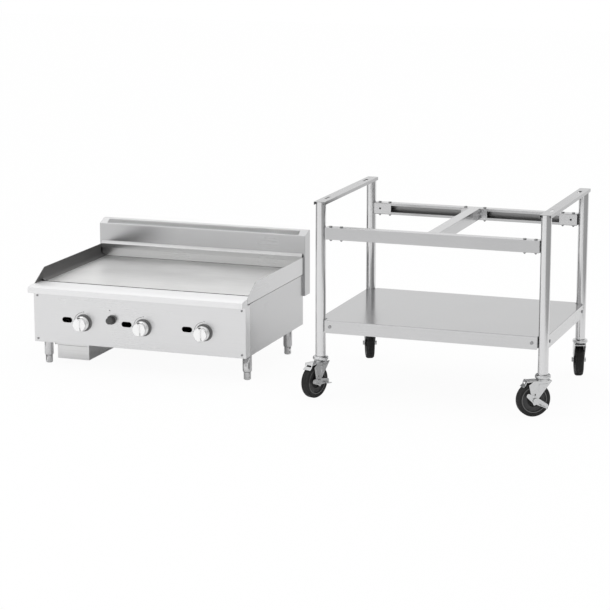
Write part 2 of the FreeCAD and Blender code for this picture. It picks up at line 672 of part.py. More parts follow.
def manifold():
    """Gas pipe across the front, turned back to the rear inlet."""
    cross = rod((MANIFOLD_LEFT_X, MANIFOLD_Y, MANIFOLD_Z), (1, 0, 0), PIPE_RADIUS,
                INLET_X - MANIFOLD_LEFT_X)
    elbow = Part.makeSphere(PIPE_RADIUS, V(INLET_X, MANIFOLD_Y, MANIFOLD_Z))
    length = PANEL_RETURN * 2
    back = rod((INLET_X, MANIFOLD_Y, MANIFOLD_Z), (0, 1, 0), PIPE_RADIUS, length)
    bores = [rod((MANIFOLD_LEFT_X + PIPE_RADIUS, MANIFOLD_Y, MANIFOLD_Z), (1, 0, 0),
                 PIPE_BORE_RADIUS, INLET_X - MANIFOLD_LEFT_X - PIPE_RADIUS),
             rod((INLET_X, MANIFOLD_Y, MANIFOLD_Z), (0, 1, 0), PIPE_BORE_RADIUS, length + 1)]
    return joined([cross, elbow, back]).cut(bores)


def inlet_pipe():
    """Rear gas inlet, from the manifold out through the back panel."""
    start = MANIFOLD_Y + 2 * PANEL_RETURN
    length = BODY_DEPTH + INLET_STICKOUT - start
    pipe = rod((INLET_X, start, MANIFOLD_Z), (0, 1, 0), PIPE_RADIUS, length)
    locknut = nut((INLET_X, BODY_DEPTH, MANIFOLD_Z), (0, 1, 0), INLET_NUT_RADIUS, INLET_NUT_HEIGHT)
    return joined([pipe, locknut]).cut(rod((INLET_X, start - 1, MANIFOLD_Z), (0, 1, 0), PIPE_BORE_RADIUS, length + 2))


def knob(x):
    """Round control knob with a raised grip and its stem."""
    deep = KNOB_BACK_Y - KNOB_FACE_Y
    skirt = turned([(0, 0), (KNOB_RADIUS - KNOB_CHAMFER, 0), (KNOB_RADIUS, KNOB_CHAMFER),
                    (KNOB_RADIUS - KNOB_CHAMFER, deep - KNOB_BACK_STEP),
                    (KNOB_RADIUS - KNOB_BACK_STEP - KNOB_CHAMFER, deep), (0, deep)],
                   (x, KNOB_BACK_Y, KNOB_Z), (0, -1, 0))
    grip_y = KNOB_FACE_Y - KNOB_GRIP_DEPTH
    grip = box(x - KNOB_GRIP_WIDTH / 2, x + KNOB_GRIP_WIDTH / 2, grip_y, KNOB_FACE_Y + SHEET,
               KNOB_Z - KNOB_RADIUS, KNOB_Z + KNOB_RADIUS)
    round_limit = rod((x, grip_y, KNOB_Z), (0, 1, 0), KNOB_RADIUS - KNOB_CHAMFER,
                      KNOB_GRIP_DEPTH + SHEET)
    grip = grip.common(round_limit)
    stem = rod((x, KNOB_BACK_Y, KNOB_Z), (0, 1, 0), KNOB_STEM_RADIUS,
               VALVE_FRONT_Y - SIDE_PLAY - KNOB_BACK_Y)
    return joined([skirt, grip, stem])


def knob_bezels():
    rings = []
    for x in KNOB_XS:
        ring = turned([(KNOB_HOLE_RADIUS, 0), (BEZEL_RADIUS, 0),
                       (BEZEL_RADIUS - 2, BEZEL_THICKNESS), (KNOB_HOLE_RADIUS, BEZEL_THICKNESS)],
                      (x, 0, KNOB_Z), (0, -1, 0))
        rings.append(ring)
    return group(rings)


def igniter_body():
    collar = rod((IGNITER_X, -IGNITER_COLLAR_DEPTH, IGNITER_Z), (0, 1, 0),
                 IGNITER_COLLAR_RADIUS, IGNITER_COLLAR_DEPTH)
    barrel = rod((IGNITER_X, -SEAM, IGNITER_Z), (0, 1, 0), IGNITER_BARREL_RADIUS,
                 IGNITER_BARREL_END + SEAM)
    bore = rod((IGNITER_X, -2 * IGNITER_COLLAR_DEPTH, IGNITER_Z), (0, 1, 0),
               BUTTON_RADIUS + BUTTON_CLEARANCE, 2 * IGNITER_COLLAR_DEPTH + IGNITER_BORE_END)
    return joined([collar, barrel]).cut(bore)


def igniter_button():
    length = BUTTON_BACK_Y - BUTTON_FRONT_Y
    body = turned([(0, 0), (BUTTON_RADIUS, 0), (BUTTON_RADIUS, length - BUTTON_CHAMFER),
                   (BUTTON_RADIUS - BUTTON_CHAMFER, length), (0, length)],
                  (IGNITER_X, BUTTON_BACK_Y, IGNITER_Z), (0, -1, 0))
    flute_end = -IGNITER_COLLAR_DEPTH - BUTTON_FLUTE_END
    cuts = []
    for i in range(BUTTON_FLUTES):
        turn = 2 * math.pi * i / BUTTON_FLUTES
        cuts.append(rod((IGNITER_X + BUTTON_RADIUS * math.cos(turn), BUTTON_FRONT_Y - 1,
                         IGNITER_Z + BUTTON_RADIUS * math.sin(turn)), (0, 1, 0),
                        BUTTON_FLUTE_RADIUS, flute_end - BUTTON_FRONT_Y + 1))
    return body.cut(cuts)


def panel_screws():
    screws = []
    for x, z in screw_places():
        head = rod((x, -SCREW_HEAD_HEIGHT, z), (0, 1, 0), SCREW_HEAD_RADIUS, SCREW_HEAD_HEIGHT)
        shank = rod((x, 0, z), (0, 1, 0), SCREW_RADIUS, SCREW_LENGTH)
        screws.append(joined([head, shank]))
    return group(screws)


def drawer_runners():
    """Two hangers that hold the tray's rims, and the strip before them."""
    top = BODY_BOTTOM + SHEET
    t = RUNNER_SHEET / 2
    ledge_z = DRAWER_TOP - DRAWER_SHEET - RUNNER_CLEARANCE - t
    rim = DRAWER_WIDTH / 2 - DRAWER_SHEET - DRAWER_FLANGE
    web_x = rim - RUNNER_CLEARANCE - t
    section = [(web_x - RUNNER_LEDGE, top - t), (web_x, top - t), (web_x, ledge_z),
               (web_x + RUNNER_LEDGE, ledge_z)]
    front = DRAWER_FRONT_Y + 2 * DRAWER_SHEET
    right = folded("xz", section, RUNNER_SHEET, front, DRAWER_FRONT_Y + DRAWER_LENGTH)
    shapes = [right, mirrored(right)]
    for shape in shapes:
        shape.translate(V(DRAWER_X, 0, 0))
    strip_plate = box(CROSS_STRIP_LEFT_X, DRAWER_X + DRAWER_WIDTH / 2, DRAWER_FRONT_Y,
                      front, DRAWER_TOP + CROSS_STRIP_GAP, top)
    return group([joined([strip_plate] + shapes)])


def grease_drawer():
    """Open tray whose inward rims hang on the runners."""
    half = DRAWER_WIDTH / 2
    t = DRAWER_SHEET
    front = DRAWER_FRONT_Y
    back = front + DRAWER_LENGTH
    tray = box(-half, half, front, back, DRAWER_BOTTOM, DRAWER_TOP)
    room = box(t - half, half - t, front + t, back - t, DRAWER_BOTTOM + t, DRAWER_TOP + 1)
    rim = box(half - t - DRAWER_FLANGE, half - t, front, back - t, DRAWER_TOP - t, DRAWER_TOP)
    low_back = box(t - half, half - t, back - 2 * t, back + 1, DRAWER_TOP - DRAWER_BACK_DROP,
                   DRAWER_TOP + 1)
    shape = joined([tray.cut([room, low_back]), rim, mirrored(rim)])
    shape.translate(V(DRAWER_X, 0, 0))
    return shape


def leg_places():
    return {
        "front_left": (-LEG_X, LEG_YS[0]), "front_right": (LEG_X, LEG_YS[0]),
        "rear_left": (-LEG_X, LEG_YS[1]), "rear_right": (LEG_X, LEG_YS[1]),
    }


def leg_holes():
    return [rod((x, y, BODY_BOTTOM - 1), (0, 0, 1), LEG_STUD_RADIUS + HOLE_CLEARANCE,
                PAN_TOP - BODY_BOTTOM + 2) for x, y in leg_places().values()]


def griddle_legs():
    """Bolt-on legs, each bored for its foot and studded at the top."""
    legs = []
    bore = FOOT_STUD_RADIUS + FIT_CLEARANCE
    depth = FOOT_STUD_LENGTH + LEG_NECK_HEIGHT
    top = BODY_BOTTOM - FOOT_HEIGHT
    stud_top = PAN_TOP - FOOT_HEIGHT + LEG_STUD_LENGTH
    for x, y in leg_places().values():
        leg = turned([(bore, 0), (LEG_NECK_RADIUS, 0), (LEG_RADIUS, LEG_NECK_HEIGHT),
                      (LEG_RADIUS, top), (LEG_STUD_RADIUS, top), (LEG_STUD_RADIUS, stud_top),
                      (0, stud_top), (0, depth), (bore, depth)], (x, y, FOOT_HEIGHT))
        legs.append(joined([leg, nut((x, y, PAN_TOP), (0, 0, 1), LEG_NUT_RADIUS, LEG_NUT_HEIGHT)]))
    return group(legs)


def levelling_foot(x, y):
    top = FOOT_HEIGHT - FOOT_CLEARANCE
    return turned([(0, 0), (FOOT_RADIUS - FOOT_EDGE, 0), (FOOT_RADIUS, FOOT_EDGE),
                   (FOOT_RADIUS, top), (FOOT_STUD_RADIUS, top),
                   (FOOT_STUD_RADIUS, top + FOOT_STUD_LENGTH), (0, top + FOOT_STUD_LENGTH)],
                  (x, y, 0))


def posts():
    top = STAND_HEIGHT - BAR_SHEET
    tubes = []
    for x, y in POSTS.values():
        tube = rod((x, y, POST_BOTTOM), (0, 0, 1), POST_RADIUS, top - POST_BOTTOM)
        bore = rod((x, y, POST_BOTTOM - 1), (0, 0, 1), POST_RADIUS - POST_WALL,
                   top - POST_BOTTOM + 2)
        tubes.append(tube.cut(bore))
    return group(tubes)


def top_bar(x):
    """Slotted channel that lies over two posts."""
    t = BAR_SHEET / 2
    edge = BAR_HALF_WIDTH - t
    low = STAND_HEIGHT - BAR_FLANGE
    section = [(x - edge, low), (x - edge, STAND_HEIGHT - t), (x + edge, STAND_HEIGHT - t),
               (x + edge, low)]
    bar = folded("xz", section, BAR_SHEET, -BAR_HALF_LENGTH, BAR_HALF_LENGTH)
    cuts = []
    for side in (-1, 1):
        cut = slot("xy", (0, 0), BAR_SLOT_LENGTH, BAR_SLOT_WIDTH, STAND_HEIGHT - 2 * BAR_SHEET,
                   STAND_HEIGHT + BAR_SHEET)
        cut.rotate(V(0, 0, 0), V(0, 0, 1), 90)
        cut.translate(V(x, side * BAR_SLOT_Y, 0))
        cuts.append(cut)
    return bar.cut(cuts)


def rail_bolt_xs(middle):
    """Bolts at both ends, and on the rear rail also beside the beam."""
    places = [RAIL_END_X - RAIL_BOLT_NEAR, RAIL_END_X - RAIL_BOLT_FAR]
    if middle:
        places.append(MIDDLE_BOLT_X)
    return [side * x for x in places for side in (-1, 1)]


def bolt_holes(middle):
    return [rod((x, RAIL_BOLT_Y, RAIL_BOTTOM - 1), (0, 0, 1), BOLT_RADIUS + HOLE_CLEARANCE,
                RAIL_HEIGHT + 2) for x in rail_bolt_xs(middle)]


def stand_rail(middle):
    """Lipped channel at the rear, its open side to the front."""
    t = RAIL_SHEET / 2
    inner, outer = RAIL_INNER_Y + t, RAIL_OUTER_Y - t
    low, high = RAIL_BOTTOM + t, RAIL_TOP - t
    section = [(inner, low + RAIL_LIP), (inner, low), (outer, low), (outer, high),
               (inner, high), (inner, high - RAIL_LIP)]
    rail = folded("yz", section, RAIL_SHEET, -RAIL_END_X, RAIL_END_X)
    lip_room = (RAIL_INNER_Y - 1, RAIL_INNER_Y + BRACKET_SHEET + BRACKET_CLEARANCE,
                RAIL_BOTTOM + RAIL_SHEET, RAIL_TOP - RAIL_SHEET)
    start = RAIL_END_X - BRACKET_LENGTH
    cuts = [box(start, RAIL_END_X + 1, *lip_room), box(-RAIL_END_X - 1, -start, *lip_room),
            box(-MIDDLE_BRACKET_HALF, MIDDLE_BRACKET_HALF, *lip_room)]
    return rail.cut(cuts + bolt_holes(middle))


def rail_insert(x0, x1):
    """U bracket that fills the channel and closes its open side."""
    t = BRACKET_SHEET / 2
    web = RAIL_INNER_Y + t
    low = RAIL_BOTTOM + RAIL_SHEET + BRACKET_CLEARANCE + t
    high = RAIL_TOP - RAIL_SHEET - BRACKET_CLEARANCE - t
    deep = RAIL_OUTER_Y - RAIL_SHEET - BRACKET_CLEARANCE
    return folded("yz", [(deep, low), (web, low), (web, high), (deep, high)],
                  BRACKET_SHEET, x0, x1)


def end_bracket():
    """Insert for one rail end, with the plate that meets the post."""
    end = RAIL_END_X
    body = rail_insert(end - BRACKET_LENGTH + SEAM, end)
    inset = RAIL_SHEET + BRACKET_CLEARANCE
    foot = box(end - BRACKET_SHEET, STAND_POST_X - POST_RADIUS - POST_GAP, RAIL_INNER_Y,
               RAIL_OUTER_Y - inset, RAIL_BOTTOM + inset, RAIL_TOP - inset)
    hole = rod((end - BRACKET_HOLE_INSET, RAIL_INNER_Y - 1, (RAIL_TOP + RAIL_BOTTOM) / 2),
               (0, 1, 0), BRACKET_HOLE_RADIUS, BRACKET_SHEET + 2)
    return joined([body, foot]).cut([hole] + bolt_holes(False))


def middle_bracket():
    return rail_insert(-MIDDLE_BRACKET_HALF + SEAM, MIDDLE_BRACKET_HALF - SEAM)


def shelf_gusset():
    """Folded corner plate that ties the shelf's flanges to a post."""
    t = GUSSET_SHEET / 2
    along_y = SHELF_HALF_Y - SHELF_SHEET - SIDE_PLAY / 3 - t
    along_x = SHELF_HALF_X - SHELF_SHEET - SIDE_PLAY / 3 - t
    near_x = STAND_POST_X - POST_RADIUS - POST_GAP - t
    near_y = STAND_POST_Y - POST_RADIUS - POST_GAP - t
    run = [(near_x - GUSSET_LEG, along_y), (near_x, along_y), (near_x, near_y),
           (along_x, near_y), (along_x, near_y - GUSSET_LEG)]
    top = SHELF_TOP - SHELF_SHEET
    shape = folded("xy", run, GUSSET_SHEET, top - GUSSET_DROP, top)
    return shape.cut(shelf_screw_holes())


def shelf_screw_places():
    """One screw through each flange beside every corner, as place and heading."""
    z = SHELF_TOP - SHELF_SCREW_DROP
    x = SHELF_NOTCH_X - SHELF_SCREW_INSET_X
    y = SHELF_NOTCH_Y - SHELF_SCREW_INSET_Y
    places = []
    for sx in (-1, 1):
        for sy in (-1, 1):
            places.append(((sx * x, sy * SHELF_HALF_Y, z), (0, -sy, 0)))
            places.append(((sx * SHELF_HALF_X, sy * y, z), (-sx, 0, 0)))
    return places


def shelf_screw_holes():
    depth = SHELF_SHEET + GUSSET_SHEET + SCREW_HOLE_RUN
    holes = []
    for start, heading in shelf_screw_places():
        start = [s - h for s, h in zip(start, heading)]
        holes.append(rod(start, heading, BOLT_RADIUS + HOLE_CLEARANCE, depth))
    return holes


def cleat_bolt_places():
    """Bolts that hold the beam's sides to its cleats, as place and heading."""
    y = RAIL_INNER_Y - CLEAT_BOLT_INSET
    x = BEAM_WIDTH / 2 + BRACKET_SHEET
    middle = RAIL_TOP - RAIL_HEIGHT / 2
    return [((sx * x, sy * y, middle + sz * CLEAT_BOLT_SPREAD / 2), (-sx, 0, 0))
            for sx in (-1, 1) for sy in (-1, 1) for sz in (-1, 1)]


def cleat_holes():
    holes = []
    for start, heading in cleat_bolt_places():
        start = [s - h for s, h in zip(start, heading)]
        holes.append(rod(start, heading, BOLT_RADIUS + HOLE_CLEARANCE,
                         BRACKET_SHEET + RAIL_SHEET + 2))
    return holes


def beam_cleat():
    """Angle that ties the beam's side to the bracket in the rail."""
    t = BRACKET_SHEET / 2
    x, y = BEAM_WIDTH / 2 + t, RAIL_INNER_Y - t
    low = RAIL_TOP - RAIL_HEIGHT / 2 - CLEAT_HEIGHT / 2
    shape = folded("xy", [(x, y - CLEAT_LEG), (x, y), (x + CLEAT_LEG, y)], BRACKET_SHEET,
                   low, low + CLEAT_HEIGHT)
    return shape.cut(cleat_holes())


def stand_brackets():
    end, gusset = end_bracket(), shelf_gusset()
    rear_middle = middle_bracket().cut(bolt_holes(True))
    shapes = []
    for shape in (end, gusset, beam_cleat()):
        shapes += [shape, mirrored(shape), flipped(shape), flipped(mirrored(shape))]
    return group(shapes + [rear_middle, flipped(middle_bracket())])


def cross_beam():
    t = RAIL_SHEET / 2
    edge = BEAM_WIDTH / 2 - t
    section = [(-edge, RAIL_TOP - BEAM_HEIGHT), (-edge, RAIL_TOP - t), (edge, RAIL_TOP - t),
               (edge, RAIL_TOP - BEAM_HEIGHT)]
    reach = RAIL_INNER_Y - HOLE_CLEARANCE
    return folded("xz", section, RAIL_SHEET, -reach, reach).cut(cleat_holes())


def stand_bolts():
    """Rail bolts with their nuts, and the shelf's screws with theirs."""
    bolts = []
    for side in (-1, 1):
        for x in rail_bolt_xs(side > 0):
            y = side * RAIL_BOLT_Y
            parts = [rod((x, y, RAIL_TOP), (0, 0, 1), BOLT_HEAD_RADIUS, BOLT_HEAD_HEIGHT),
                     rod((x, y, RAIL_BOTTOM - NUT_HEIGHT - NUT_TAIL), (0, 0, 1), BOLT_RADIUS,
                         RAIL_HEIGHT + NUT_HEIGHT + NUT_TAIL),
                     nut((x, y, RAIL_BOTTOM - NUT_HEIGHT), (0, 0, 1))]
            bolts.append(joined(parts))
    grip = SHELF_SHEET + GUSSET_SHEET + SIDE_PLAY
    for start, heading in shelf_screw_places() + cleat_bolt_places():
        outside = [s - h * BOLT_HEAD_HEIGHT for s, h in zip(start, heading)]
        inside = [s + h * grip for s, h in zip(start, heading)]
        parts = [rod(outside, heading, BOLT_HEAD_RADIUS, BOLT_HEAD_HEIGHT),
                 rod(start, heading, BOLT_RADIUS, grip + NUT_HEIGHT + NUT_TAIL),
                 nut(inside, heading)]
        bolts.append(joined(parts))
    return group(bolts)


def nut(start, axis, radius=NUT_RADIUS, height=NUT_HEIGHT):
    corners = [(radius * math.cos(math.pi * i / 3), radius * math.sin(math.pi * i / 3))
               for i in range(6)]
    shape = prism("xy", corners, 0, height)
    turn = FreeCAD.Rotation(V(0, 0, 1), V(*axis))
    shape.Placement = FreeCAD.Placement(V(*start), turn)
    return shape


def shelf():
    """Flanged shelf, notched round the four posts."""
    low = SHELF_TOP - SHELF_FLANGE
    outer = box(-SHELF_HALF_X, SHELF_HALF_X, -SHELF_HALF_Y, SHELF_HALF_Y, low, SHELF_TOP)
    room = box(SHELF_SHEET - SHELF_HALF_X, SHELF_HALF_X - SHELF_SHEET,
               SHELF_SHEET - SHELF_HALF_Y, SHELF_HALF_Y - SHELF_SHEET, low - 1,
               SHELF_TOP - SHELF_SHEET)
    over = 10
    notch = box(SHELF_NOTCH_X, SHELF_HALF_X + over, SHELF_NOTCH_Y, SHELF_HALF_Y + over,
                low - 1, SHELF_TOP + 1)
    notches = [notch, mirrored(notch), flipped(notch), flipped(mirrored(notch))]
    return outer.cut([room] + notches + shelf_screw_holes())


def caster_stem():
    """Collar, post plug and kingpin, on the swivel axis."""
    plug = POST_RADIUS - POST_WALL - PLUG_CLEARANCE
    race_bottom = CROWN_TOP + SIDE_PLAY
    collar_bottom = race_bottom + RACE_HEIGHT
    pin_low = FORK_CROWN_BOTTOM - SIDE_PLAY
    return turned([
        (0, POST_BOTTOM + PLUG_LENGTH), (plug, POST_BOTTOM + PLUG_LENGTH), (plug, POST_BOTTOM),
        (COLLAR_RADIUS - COLLAR_CHAMFER, POST_BOTTOM), (COLLAR_RADIUS, POST_BOTTOM - COLLAR_CHAMFER),
        (COLLAR_RADIUS, collar_bottom + COLLAR_CHAMFER), (RACE_RADIUS, collar_bottom),
        (RACE_RADIUS, race_bottom), (KINGPIN_RADIUS, race_bottom), (KINGPIN_RADIUS, pin_low),
        (KINGPIN_HEAD_RADIUS, pin_low), (KINGPIN_HEAD_RADIUS, pin_low - KINGPIN_HEAD_HEIGHT),
        (0, pin_low - KINGPIN_HEAD_HEIGHT)], (0, 0, 0))


def caster_stems():
    stems = []
    for x, y in POSTS.values():
        stem = caster_stem()
        stem.translate(V(x, y, 0))
        stems.append(stem)
    return group(stems)


def caster_fork(braked):
    """Pressed fork with its axle bolt, drawn trailing along +X."""
    crown = box(FORK_REAR_X, FORK_FRONT_X, -FORK_OUTER_HALF, FORK_OUTER_HALF,
                FORK_CROWN_BOTTOM, CROWN_TOP)
    tip = [(CASTER_TRAIL + FORK_TIP_RADIUS * math.cos(math.radians(a)),
            WHEEL_RADIUS + FORK_TIP_RADIUS * math.sin(math.radians(a)))
           for a in range(10, -191, -25)]
    outline = [(FORK_REAR_X, FORK_CROWN_BOTTOM), (FORK_SHOULDER_X, FORK_CROWN_BOTTOM),
               (FORK_FRONT_X, FORK_CROWN_BOTTOM - FORK_SHOULDER_DROP)] + tip
    arms = [prism("xz", outline, FORK_INNER_HALF, FORK_OUTER_HALF),
            prism("xz", outline, -FORK_OUTER_HALF, -FORK_INNER_HALF)]
    pin = rod((0, 0, FORK_CROWN_BOTTOM - 1), (0, 0, 1), KINGPIN_RADIUS + FIT_CLEARANCE,
              FORK_CROWN_THICKNESS + 2)
    axle_hole = rod((CASTER_TRAIL, -FORK_OUTER_HALF - 1, WHEEL_RADIUS), (0, 1, 0), AXLE_RADIUS,
                    2 * FORK_OUTER_HALF + 2)
    fork = joined([crown] + arms + (shoe_ears() if braked else [])).cut([pin, axle_hole])
    far = LEVER_OUT_Y + SIDE_PLAY if braked else FORK_OUTER_HALF
    axle = joined([
        rod((CASTER_TRAIL, -FORK_OUTER_HALF, WHEEL_RADIUS), (0, 1, 0), AXLE_RADIUS,
            FORK_OUTER_HALF + far),
        rod((CASTER_TRAIL, -FORK_OUTER_HALF - AXLE_END, WHEEL_RADIUS), (0, 1, 0),
            AXLE_HEAD_RADIUS, AXLE_END),
        rod((CASTER_TRAIL, far, WHEEL_RADIUS), (0, 1, 0), AXLE_HEAD_RADIUS, AXLE_END)])
    return group([fork, axle])


def tyre():
    edge = WHEEL_RADIUS - TYRE_SHOULDER
    w, s = TYRE_HALF_WIDTH, TYRE_SHOULDER
    return turned([(TYRE_INNER_RADIUS, -w), (edge, -w), (WHEEL_RADIUS - s * 0.3, -w + s * 0.3),
                   (WHEEL_RADIUS, -w + s), (WHEEL_RADIUS, w - s),
                   (WHEEL_RADIUS - s * 0.3, w - s * 0.3), (edge, w), (TYRE_INNER_RADIUS, w)],
                  (CASTER_TRAIL, 0, WHEEL_RADIUS), (0, 1, 0))


def hub():
    boss = FORK_INNER_HALF - SIDE_PLAY
    bore = AXLE_RADIUS + FIT_CLEARANCE
    half = [(bore, boss), (HUB_BOSS_RADIUS, boss), (HUB_BOSS_RADIUS + HUB_SLOPE, HUB_WEB_HALF),
            (HUB_RIM_RADIUS - HUB_SLOPE, HUB_WEB_HALF), (HUB_RIM_RADIUS, HUB_RIM_HALF),
            (TYRE_INNER_RADIUS, HUB_RIM_HALF)]
    profile = half + [(radius, -height) for radius, height in reversed(half)]
    return turned(profile, (CASTER_TRAIL, 0, WHEEL_RADIUS), (0, 1, 0))


def lever_arm(reach, width):
    """Arm that narrows from the lever's eye to a round end beside it."""
    dx, dz = reach
    length = math.hypot(dx, dz)
    heading = math.atan2(dz, dx)
    spread = math.acos((LEVER_HUB_RADIUS - width / 2) / length)
    x, z = CASTER_TRAIL, WHEEL_RADIUS
    outline = []
    for side in (1, -1):
        ends = [(x, z, LEVER_HUB_RADIUS), (x + dx, z + dz, width / 2)]
        for px, pz, radius in ends[::side]:
            turn = heading + side * spread
            outline.append((px + radius * math.cos(turn), pz + radius * math.sin(turn)))
    end = rod((x + dx, LEVER_IN_Y, z + dz), (0, 1, 0), width / 2, LEVER_SHEET)
    return joined([prism("xz", outline, LEVER_IN_Y, LEVER_OUT_Y), end])


def brake_lever():
    """Side lever that pivots on the axle, with its bent-out pedal."""
    arms = [lever_arm(LEVER_LOCK_ARM, LEVER_ARM_WIDTH), lever_arm(LEVER_PEDAL_ARM, LEVER_ARM_WIDTH),
            lever_arm(LEVER_STOP_ARM, LEVER_STOP_WIDTH)]
    eye = rod((CASTER_TRAIL, LEVER_IN_Y, WHEEL_RADIUS), (0, 1, 0), LEVER_HUB_RADIUS, LEVER_SHEET)
    slope = math.degrees(math.atan2(LEVER_PEDAL_ARM[1], LEVER_PEDAL_ARM[0]))
    reach = math.hypot(*LEVER_PEDAL_ARM)
    pedal = box(reach - LEVER_PEDAL_LENGTH, reach + LEVER_SHEET, LEVER_IN_Y,
                LEVER_OUT_Y + LEVER_PEDAL_DEPTH, LEVER_ARM_WIDTH / 2 - LEVER_SHEET,
                LEVER_ARM_WIDTH / 2)
    pedal.rotate(V(0, 0, 0), V(0, -1, 0), slope)
    pedal.translate(V(CASTER_TRAIL, 0, WHEEL_RADIUS))
    hole = rod((CASTER_TRAIL, LEVER_IN_Y - 1, WHEEL_RADIUS), (0, 1, 0),
               AXLE_RADIUS + FIT_CLEARANCE, LEVER_SHEET + 2)
    return joined(arms + [eye, pedal]).cut(hole)


def shoe_pivot():
    return (FORK_FRONT_X + SHOE_PIVOT_REACH, CROWN_TOP - FORK_CROWN_THICKNESS / 2)


def shoe_ears():
    """Ears before the crown, with the pin that carries the brake shoe."""
    x, z = shoe_pivot()
    outer = EAR_INNER_HALF + EAR_THICKNESS
    front = x + SHOE_KNUCKLE_RADIUS
    ear = box(FORK_FRONT_X - 1, front, EAR_INNER_HALF, outer, z - EAR_DROP, z + EAR_DROP)
    pin = rod((x, -EAR_INNER_HALF - 1, z), (0, 1, 0), SHOE_PIN_RADIUS, 2 * EAR_INNER_HALF + 2)
    return [ear, flipped(ear), pin]


def brake_shoe():
    """Bent plate that swings from its pin down on the tyre."""
    x, z = shoe_pivot()
    run = [(x + dx, z + dz) for dx, dz in SHOE_RUN]
    plate = folded("xz", run, SHOE_SHEET, -SHOE_HALF_WIDTH, SHOE_HALF_WIDTH)
    knuckle = rod((x, -SHOE_HALF_WIDTH, z), (0, 1, 0), SHOE_KNUCKLE_RADIUS, 2 * SHOE_HALF_WIDTH)
    window = box(x + SHOE_KNUCKLE_RADIUS, x + SHOE_RUN[-1][0], -SHOE_WINDOW_HALF, SHOE_WINDOW_HALF,
                 z - SHOE_WINDOW_BOTTOM, z - SHOE_WINDOW_TOP)
    bore = rod((x, -SHOE_HALF_WIDTH - 1, z), (0, 1, 0), SHOE_PIN_RADIUS + FIT_CLEARANCE,
               2 * SHOE_HALF_WIDTH + 2)
    return joined([plate, knuckle]).cut([window, bore])


def pressed(lever, shoe):
    """Lever and shoe as they stand with the brake on."""
    lever.rotate(V(CASTER_TRAIL, 0, WHEEL_RADIUS), V(0, -1, 0), LEVER_PRESS_DEGREES)
    x, z = shoe_pivot()
    shoe.rotate(V(x, 0, z), V(0, 1, 0), SHOE_PRESS_DEGREES)
    return lever, shoe


def at_corner(shape, corner):
    """Turn a caster piece to its rest angle under its post."""
    x, y = POSTS[corner]
    shape.rotate(V(0, 0, 0), V(0, 0, 1), SWIVEL_DEGREES[corner])
    shape.translate(V(x, y, 0))
    return shape


def griddle_nodes():
    right_side, right_guard = side_panel(), guard()
    nodes = {
        "front_panel": front_panel(),
        "side_panel_right": right_side,
        "side_panel_left": mirrored(right_side),
        "bottom_pan": bottom_pan(),
        "back_panel": back_panel(),
        "plate_supports": plate_supports(),
        "griddle_plate": griddle_plate(),
        "guard_right": right_guard,
        "guard_left": mirrored(right_guard),
        "rear_splash": rear_splash(),
        "front_ledge": front_ledge(),
        "grease_trough": grease_trough(),
        "flue_riser": flue_riser(),
        "flue_grille": flue_grille(),
        "burners": group([burner(x) for x in KNOB_XS]),
        "burner_rack": burner_rack(),
        "gas_valves": group([gas_valve(x) for x in KNOB_XS]),
        "pilot_burners": group([pilot(x) for x in KNOB_XS]),
        "gas_manifold": manifold(),
        "gas_inlet_pipe": inlet_pipe(),
        "knob_bezels": knob_bezels(),
        "igniter_body": igniter_body(),
        "igniter_button": igniter_button(),
        "panel_screws": panel_screws(),
        "drawer_runners": drawer_runners(),
        "grease_drawer": grease_drawer(),
        "griddle_legs": griddle_legs(),
    }
    for name, x in zip(("left", "centre", "right"), KNOB_XS):
        nodes["knob_" + name] = knob(x)
    for corner, (x, y) in leg_places().items():
        nodes["foot_" + corner] = levelling_foot(x, y)
    return nodes


def stand_nodes():
    nodes = {
        "posts": posts(),
        "top_bar_left": top_bar(-STAND_POST_X),
        "top_bar_right": top_bar(STAND_POST_X),
        "rear_rail": stand_rail(True),
        "front_rail": flipped(stand_rail(False)),
        "cross_beam": cross_beam(),
        "stand_brackets": stand_brackets(),
        "stand_bolts": stand_bolts(),
        "shelf": shelf(),
        "caster_stems": caster_stems(),
    }
    for corner in POSTS:
        braked = corner in BRAKED
        nodes["caster_fork_" + corner] = at_corner(caster_fork(braked), corner)
        nodes["tyre_" + corner] = at_corner(tyre(), corner)
        nodes["hub_" + corner] = at_corner(hub(), corner)
        if braked:
            lever, shoe = brake_lever(), brake_shoe()
            if corner == PRESSED_CORNER:
                lever, shoe = pressed(lever, shoe)
            nodes["brake_lever_" + corner] = at_corner(lever, corner)
            nodes["brake_shoe_" + corner] = at_corner(shoe, corner)
    return nodes


def layout():
    """All nodes in one frame, its origin under the middle of the footprint."""
    nodes = stand_nodes()
    for name, shape in griddle_nodes().items():
        shape.translate(V(GRIDDLE_FROM_STAND[0], GRIDDLE_FROM_STAND[1], 0))
        nodes[name] = shape
    bounds = FreeCAD.BoundBox()
    for shape in nodes.values():
        bounds.add(shape.optimalBoundingBox(False, False))
    origin = V(bounds.Center.x, bounds.Center.y, 0)
    for shape in nodes.values():
        shape.translate(-origin)
    return nodes, origin


def main():
    os.makedirs("parts", exist_ok=True)
    nodes, origin = layout()
    for name, shape in sorted(nodes.items()):
        shape.exportStep(os.path.join("parts", name + ".step"))
    print(len(nodes), "nodes; stand middle at", round(-origin.x, 3), round(-origin.y, 3))


main()
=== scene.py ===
import bpy
import bmesh
import json
import math
from mathutils import Vector, Matrix

